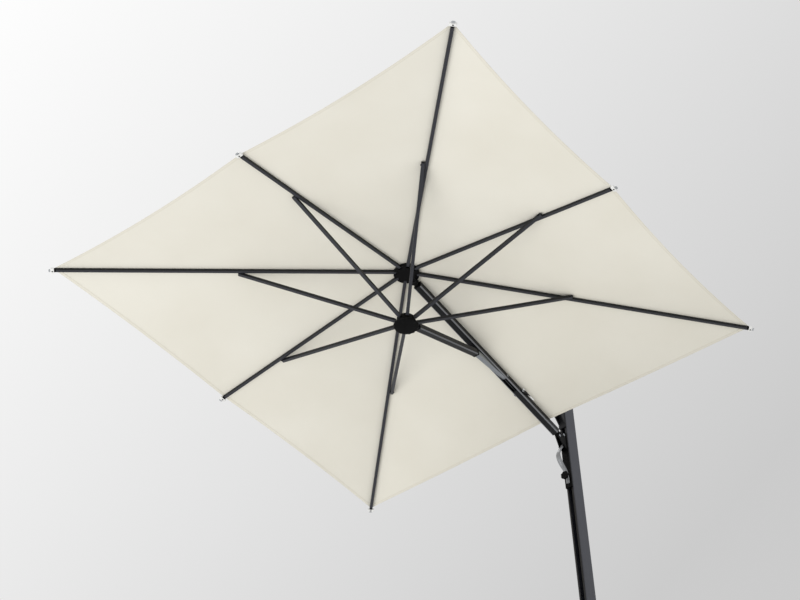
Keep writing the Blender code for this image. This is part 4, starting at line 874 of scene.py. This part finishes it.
for name, part in parts.items():
    low, high = part["shares"]
    share = np.linspace(max(low, HEM_ENDS), min(high, 1 - HEM_ENDS), HEM_ROWS)[:, None]
    out = hem_line(share, part["kind"] == "free") - TAPE * (1 - band_across) / 2
    height = cloth_height(out, share) - BAND_ON_CLOTH
    points = face_points(part["face"], part["hand"], out, out * share, height)
    hem = band(name.replace("canopy_cloth", "hem"), points, share * CANOPY_HALF, part["hand"] < 0)
    part["bands"].append(gather(hem, part["rib"]))
for number in range(8):
    side = band_across * TAPE / 2
    end = CANOPY_HALF - (TAPE_END if number else FREE_TAPE_END + FREE_PULL)
    reach = np.linspace(TAPE_START, end, TAPE_ROWS)[:, None] * (math.sqrt(2) if number % 2 else 1.0)
    face = number // 2
    if number % 2:
        out, aside = (reach + np.abs(side)) / math.sqrt(2), (reach - np.abs(side)) / math.sqrt(2)
    else:
        out, aside = reach + 0 * side, np.abs(side) + 0 * reach
    height = cloth_height(out, aside / out) + BAND_ON_CLOTH
    if number % 2:
        left = face_points(face, 1, out, aside, height)
        right = face_points((face + 1) % 4, -1, out, aside, height)
    else:
        left, right = (face_points(face, hand, out, aside, height) for hand in (-1, 1))
    points = np.where((side < 0)[:, None], left, right)
    rib = max(number, 1)
    tape = gather(band(f"seam_tape_{number}", points, reach, True), rib)
    next(part for part in parts.values() if part["rib"] == rib)["bands"].append(tape)
print("bands:", sum(len(part["bands"]) for part in parts.values()))

# %% [markdown]
# ## Flat cuts
# Cloth has a size before it is sewn. Each part's flat cut could be measured on its mesh, but it comes
# from the canopy's half side and its fall: a right triangle for a whole panel, and two triangles where
# the bisector splits it.

# %% Flat cut sizes
PANEL_SLOPE = math.hypot(CANOPY_HALF, CANOPY_DROP)
CORNER_SEAM = math.hypot(math.sqrt(2) * CANOPY_HALF, CANOPY_DROP)
panel_area = CANOPY_HALF * PANEL_SLOPE / 2
corner_area = panel_area * (1 - BISECTOR)
FLAT_CUT = {
    "free": ((CANOPY_HALF, PANEL_SLOPE), panel_area),
    "mid": ((CANOPY_HALF * BISECTOR, PANEL_SLOPE), panel_area * BISECTOR),
    "corner": ((2 * corner_area / CORNER_SEAM, CORNER_SEAM), corner_area),
}
for part in parts.values():
    flat, area = FLAT_CUT[part["kind"]]
print("each panel is cut", round(CANOPY_HALF, 3), "by", round(PANEL_SLOPE, 3), "m, half of that area")

# %% [markdown]
# ## Turned and swept shapes
# A turned shape carries a profile of radius against height round an axis, and a cosine of the angle can
# give it lobes like a hand knob's. A swept shape carries a closed outline along a path. Both are closed
# at their ends, with faces outwards, and both come out as arrays that one function moves to three
# directions and a place. Modifiers could make both, but arrays can be moved and merged before they
# become a mesh.

# %% Shape helpers
SHARP_EDGE = math.radians(35)  # edges that turn by more than this stay sharp
DOME_STEPS = 7
NUT_CHAMFER = 0.12  # share of the nut's radius


def turned_solid(profile, sides=40, lobes=0, depth=0.0):
    """Radius at each height from the low pole to the high one, times 1 plus a cosine of the angle.

    The cosine has one wave for each lobe, and its depth falls off with the radius's third power.
    """
    radius, height = np.asarray(profile, float).T
    angle = np.linspace(0, 2 * np.pi, sides, endpoint=False)
    swell = 1 + depth * (radius[1:-1, None] / radius.max()) ** 3 * np.cos(lobes * angle)
    ring = radius[1:-1, None] * swell
    points = np.stack((ring * np.cos(angle), ring * np.sin(angle), height[1:-1, None] + 0 * ring), axis=-1)
    points = np.concatenate((points.reshape(-1, 3), ((0, 0, height[0]), (0, 0, height[-1]))))
    rows = len(radius) - 2
    column = np.arange(sides)
    after = (column + 1) % sides
    last = (rows - 1) * sides
    low_fan = np.stack((0 * column + rows * sides, after, column), axis=1)
    high_fan = np.stack((0 * column + rows * sides + 1, column + last, after + last), axis=1)
    return points, [*grid_faces(rows, sides, wrap=True).tolist(), *low_fan.tolist(), *high_fan.tolist()]


def soft_outline(width, height, sides=28, power=6.0):
    """A superellipse: each half width times the cosine or sine to 2 over the power, with its own sign."""
    angle = np.linspace(0, 2 * np.pi, sides, endpoint=False)
    across, up = np.cos(angle), np.sin(angle)
    return np.stack((width / 2 * np.sign(across) * np.abs(across) ** (2 / power),
                     height / 2 * np.sign(up) * np.abs(up) ** (2 / power)), axis=-1)


def swept_solid(outline, stations, sizes):
    """The outline in Y and Z carried along X: each station has a place on X and a size for the outline."""
    stations, sizes = np.asarray(stations, float)[:, None], np.asarray(sizes, float)[:, None]
    points = np.stack(np.broadcast_arrays(stations, sizes * outline[:, 0], sizes * outline[:, 1]), axis=-1)
    count = len(outline)
    first = np.arange(count)
    caps = [first[::-1].tolist(), (first + (len(stations) - 1) * count).tolist()]
    return points.reshape(-1, 3), [*grid_faces(len(stations), count, wrap=True).tolist(), *caps]


def moved(solid, x, y, z, place):
    """A solid's points read as amounts of three directions from a place."""
    points, faces = solid
    return points @ np.stack((x, y, z)) + np.asarray(place), faces


def merged(solids):
    """Several solids as one, each one's faces counted on from the points before it."""
    starts = np.cumsum([0] + [len(points) for points, _ in solids])
    faces = [[int(start) + corner for corner in face]
             for start, (_, own_faces) in zip(starts, solids) for face in own_faces]
    return np.concatenate([points for points, _ in solids]), faces


def fit(name, solid, finish, body, instead=None):
    """Shows a solid with its sharp edges kept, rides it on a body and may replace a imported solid."""
    mesh = new_mesh(name, *solid)
    mesh.shade_smooth()
    mesh.set_sharp_from_angle(angle=SHARP_EDGE)
    piece = show(name, mesh, finish)
    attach(piece, body)
    if instead:
        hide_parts(instead)


def dome(radius, height, foot=0.001):
    """A profile for a button head: a short wall, then a quarter of an ellipse up to the pole."""
    turn = np.linspace(0, np.pi / 2, DOME_STEPS)
    cap = np.stack((radius * np.cos(turn), foot + (height - foot) * np.sin(turn)), axis=1)
    return np.concatenate((((0.0, 0.0), (radius, 0.0)), cap))


def nut(radius, height):
    """A profile for a chamfered nut, to be turned in six sides."""
    edge = NUT_CHAMFER * radius
    return ((0, 0), (radius - edge, 0), (radius, edge), (radius, height - edge), (radius - edge, height),
            (0, height))


AXES = np.eye(3)
print("points in a button head's profile:", len(dome(1.0, 1.0)))

# %% [markdown]
# ## Rib tips
# A black plug closes each rib. Past it sits a small white block that holds the cloth's edge, with a
# black screw from below and a smoke-grey butterfly clip at its outer end. The rib's own hinge and its
# packed tip give the three directions. The block could be a scaled cube with a bevel, but a superellipse
# swept along the rib has the soft edges of a moulding from the start.

# %% Blocks, screws and clips
POCKET_WIDTH, POCKET_THICKNESS = 0.044, 0.016
POCKET_BACK, POCKET_FRONT = -0.002, 0.018  # along the rib, from its end
POCKET_SINK = 0.0045  # the block's middle below the rib's axis
POCKET_ROUND = ((0.0, 0.90), (0.0008, 0.97), (0.003, 1.0))  # distance from an end, and size there
SCREW_RADIUS, SCREW_HEIGHT = 0.005, 0.0028
SCREW_OUT, SCREW_SINK = 0.008, 0.0006  # along the rib from its end, and into the block
CLIP_OUT = 0.025  # the clip's middle from the rib's end
pocket_rise = [POCKET_BACK + run for run, _ in POCKET_ROUND]
pocket_fall = [POCKET_FRONT - run for run, _ in POCKET_ROUND[::-1]]
pocket_sizes = [size for _, size in POCKET_ROUND + POCKET_ROUND[::-1]]
pocket = swept_solid(soft_outline(POCKET_WIDTH, POCKET_THICKNESS), pocket_rise + pocket_fall, pocket_sizes)
screw = turned_solid(dome(SCREW_RADIUS, SCREW_HEIGHT))
clip_profile = ((0, -0.003), (0.0068, -0.003), (0.0081, -0.002), (0.0085, 0.0), (0.0081, 0.002),
                (0.0068, 0.003), (0, 0.003))
clip = turned_solid(clip_profile, sides=48, lobes=2, depth=-0.45)
for number in RIBS:
    out, side, up, end = rib_axes(number)
    body = f"rib_{number}"
    middle = end - up * POCKET_SINK
    under = end + out * SCREW_OUT - up * (POCKET_SINK + POCKET_THICKNESS / 2 - SCREW_SINK)
    beyond = end + out * CLIP_OUT - up * POCKET_SINK
    fit(f"tip_pocket_{number}", moved(pocket, out, side, up, middle), white_nylon, body)
    fit(f"tip_screw_{number}", moved(screw, out, -side, -up, under), black_oxide, body)
    fit(f"tip_clip_{number}", moved(clip, out, side, up, beyond), clip_plastic, body)
print("tips:", len(RIBS))

# %% [markdown]
# ## Knob, hub cover and fasteners
# The clamp knob has seven lobes for the fingers and the lower hub's cover a scalloped rim. Button heads
# close the bolts on the slider and the struts, and hexagon nuts the pins of both hubs. A Screw modifier
# could turn these profiles, but a formula for the radius gives the lobes and scallops in the same step.

# %% Turned pieces
KNOB_DEPTH, KNOB_RADIUS, KNOB_LOBE = 0.022, 0.0269, 0.078
STEM = 0.006
knob_low, knob_high = (np.array(corner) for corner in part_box("clamp_knob"))
knob_end = knob_high[0] - knob_low[0]
knob_start = knob_end - KNOB_DEPTH
knob_profile = (  # radius and height, from the stem's foot to the middle of the dished face
    (0, 0), (STEM, 0), (STEM, knob_start), (0.022, knob_start + 0.0005), (0.0258, knob_start + 0.003),
    (KNOB_RADIUS, knob_start + 0.007), (KNOB_RADIUS, knob_end - 0.006), (0.0256, knob_end - 0.0025),
    (0.0225, knob_end - 0.0006), (0.015, knob_end), (0.013, knob_end - 0.0015), (0, knob_end - 0.0015),
)
knob_place = (knob_low + knob_high) / 2 * (0, 1, 1) + knob_low * (1, 0, 0)
knob = turned_solid(knob_profile, sides=112, lobes=7, depth=KNOB_LOBE)
fit("knob_lobed", moved(knob, AXES[1], AXES[2], AXES[0], knob_place), black_nylon, "knob",
    "clamp_knob")

COVER_RADIUS, COVER_SCALLOP = 0.0765, 0.0195
cover_points = node_points("hub_cover") - apex
cover_low, cover_high = (cover_points @ hub_z).min(), (cover_points @ hub_z).max()
cover_profile = (  # radius and height, from the underside up
    (0, cover_low), (0.020, cover_low), (0.068, cover_low + 0.0006), (0.0735, cover_low + 0.0018),
    (COVER_RADIUS, cover_low + 0.0045), (COVER_RADIUS, cover_high), (0, cover_high),
)
cover = turned_solid(cover_profile, sides=160, lobes=16, depth=COVER_SCALLOP)
fit("hub_cover_scalloped", moved(cover, hub_x, hub_y, hub_z, apex), black_nylon, "lower_hub",
    "hub_cover")
for kind, radius, swell in (("knob", KNOB_RADIUS, KNOB_LOBE), ("hub cover", COVER_RADIUS, COVER_SCALLOP)):
    print("circle round the", kind, round(2000 * radius * (1 + swell)), "mm across")

# %% Fasteners
# Out and up from the slider's pivot, and the side of the slider
CHEEK_BOLTS = ((0.026, -0.026, 1), (-0.026, 0.006, 1), (-0.026, 0.006, -1))
CHEEK_FACE = 0.0232  # foot of a button from the slider's middle, just inside the cheek
BUTTON_RADIUS, BUTTON_HEIGHT, BUTTON_FOOT = 0.0092, 0.0040, 0.0012
slider_pivot = np.array(joints["slider_run"]["pos_m"])
button = turned_solid(dome(BUTTON_RADIUS, BUTTON_HEIGHT, BUTTON_FOOT))
caps = [moved(button, AXES[0], -hand * AXES[2], hand * AXES[1], slider_pivot + (out, hand * CHEEK_FACE, up))
        for out, up, hand in CHEEK_BOLTS]
fit("carriage_buttons", merged(caps), zinc_steel, "slider")

STRUT_FACE = 0.0118  # foot of a bolt head from the strut's middle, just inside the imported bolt's end
RIVET_RADIUS, RIVET_HEIGHT = 0.0056, 0.0030
rivet = turned_solid(dome(RIVET_RADIUS, RIVET_HEIGHT))
for number in RIBS:
    side = unit(joints[f"rib_{number}_fold"]["axis"])
    bolt = np.array(joints[f"strut_{number}_swing"]["pos_m"]) - side * STRUT_FACE
    along = unit(np.cross(side, hub_z))
    fit(f"strut_button_{number}", moved(rivet, along, np.cross(-side, along), -side, bolt), black_oxide,
        f"rib_{number}")

NUT_RADIUS, NUT_HEIGHT, NUT_SINK = 0.0085, 0.0055, 0.0045
PIN_REACH = 0.009  # a hub's corners nearer than this to its pivot line show where the pin ends
hexagon = turned_solid(nut(NUT_RADIUS, NUT_HEIGHT), sides=6)
for hub, joint in (("upper_hub", "hub_tip"), ("lower_hub", "lower_hub_tip")):
    pin = np.array(joints[joint]["pos_m"])
    corners = node_points(hub) - pin
    ends = np.abs(corners[np.hypot(corners[:, 0], corners[:, 2]) < PIN_REACH, 1]).max()
    nuts = [moved(hexagon, AXES[0], -hand * AXES[2], hand * AXES[1], pin + (0, hand * (ends - NUT_SINK), 0))
            for hand in (1, -1)]
    fit(f"{hub}_nuts", merged(nuts), black_oxide, hub)
print("bolt heads on the slider:", len(caps), "and on the struts:", len(RIBS))
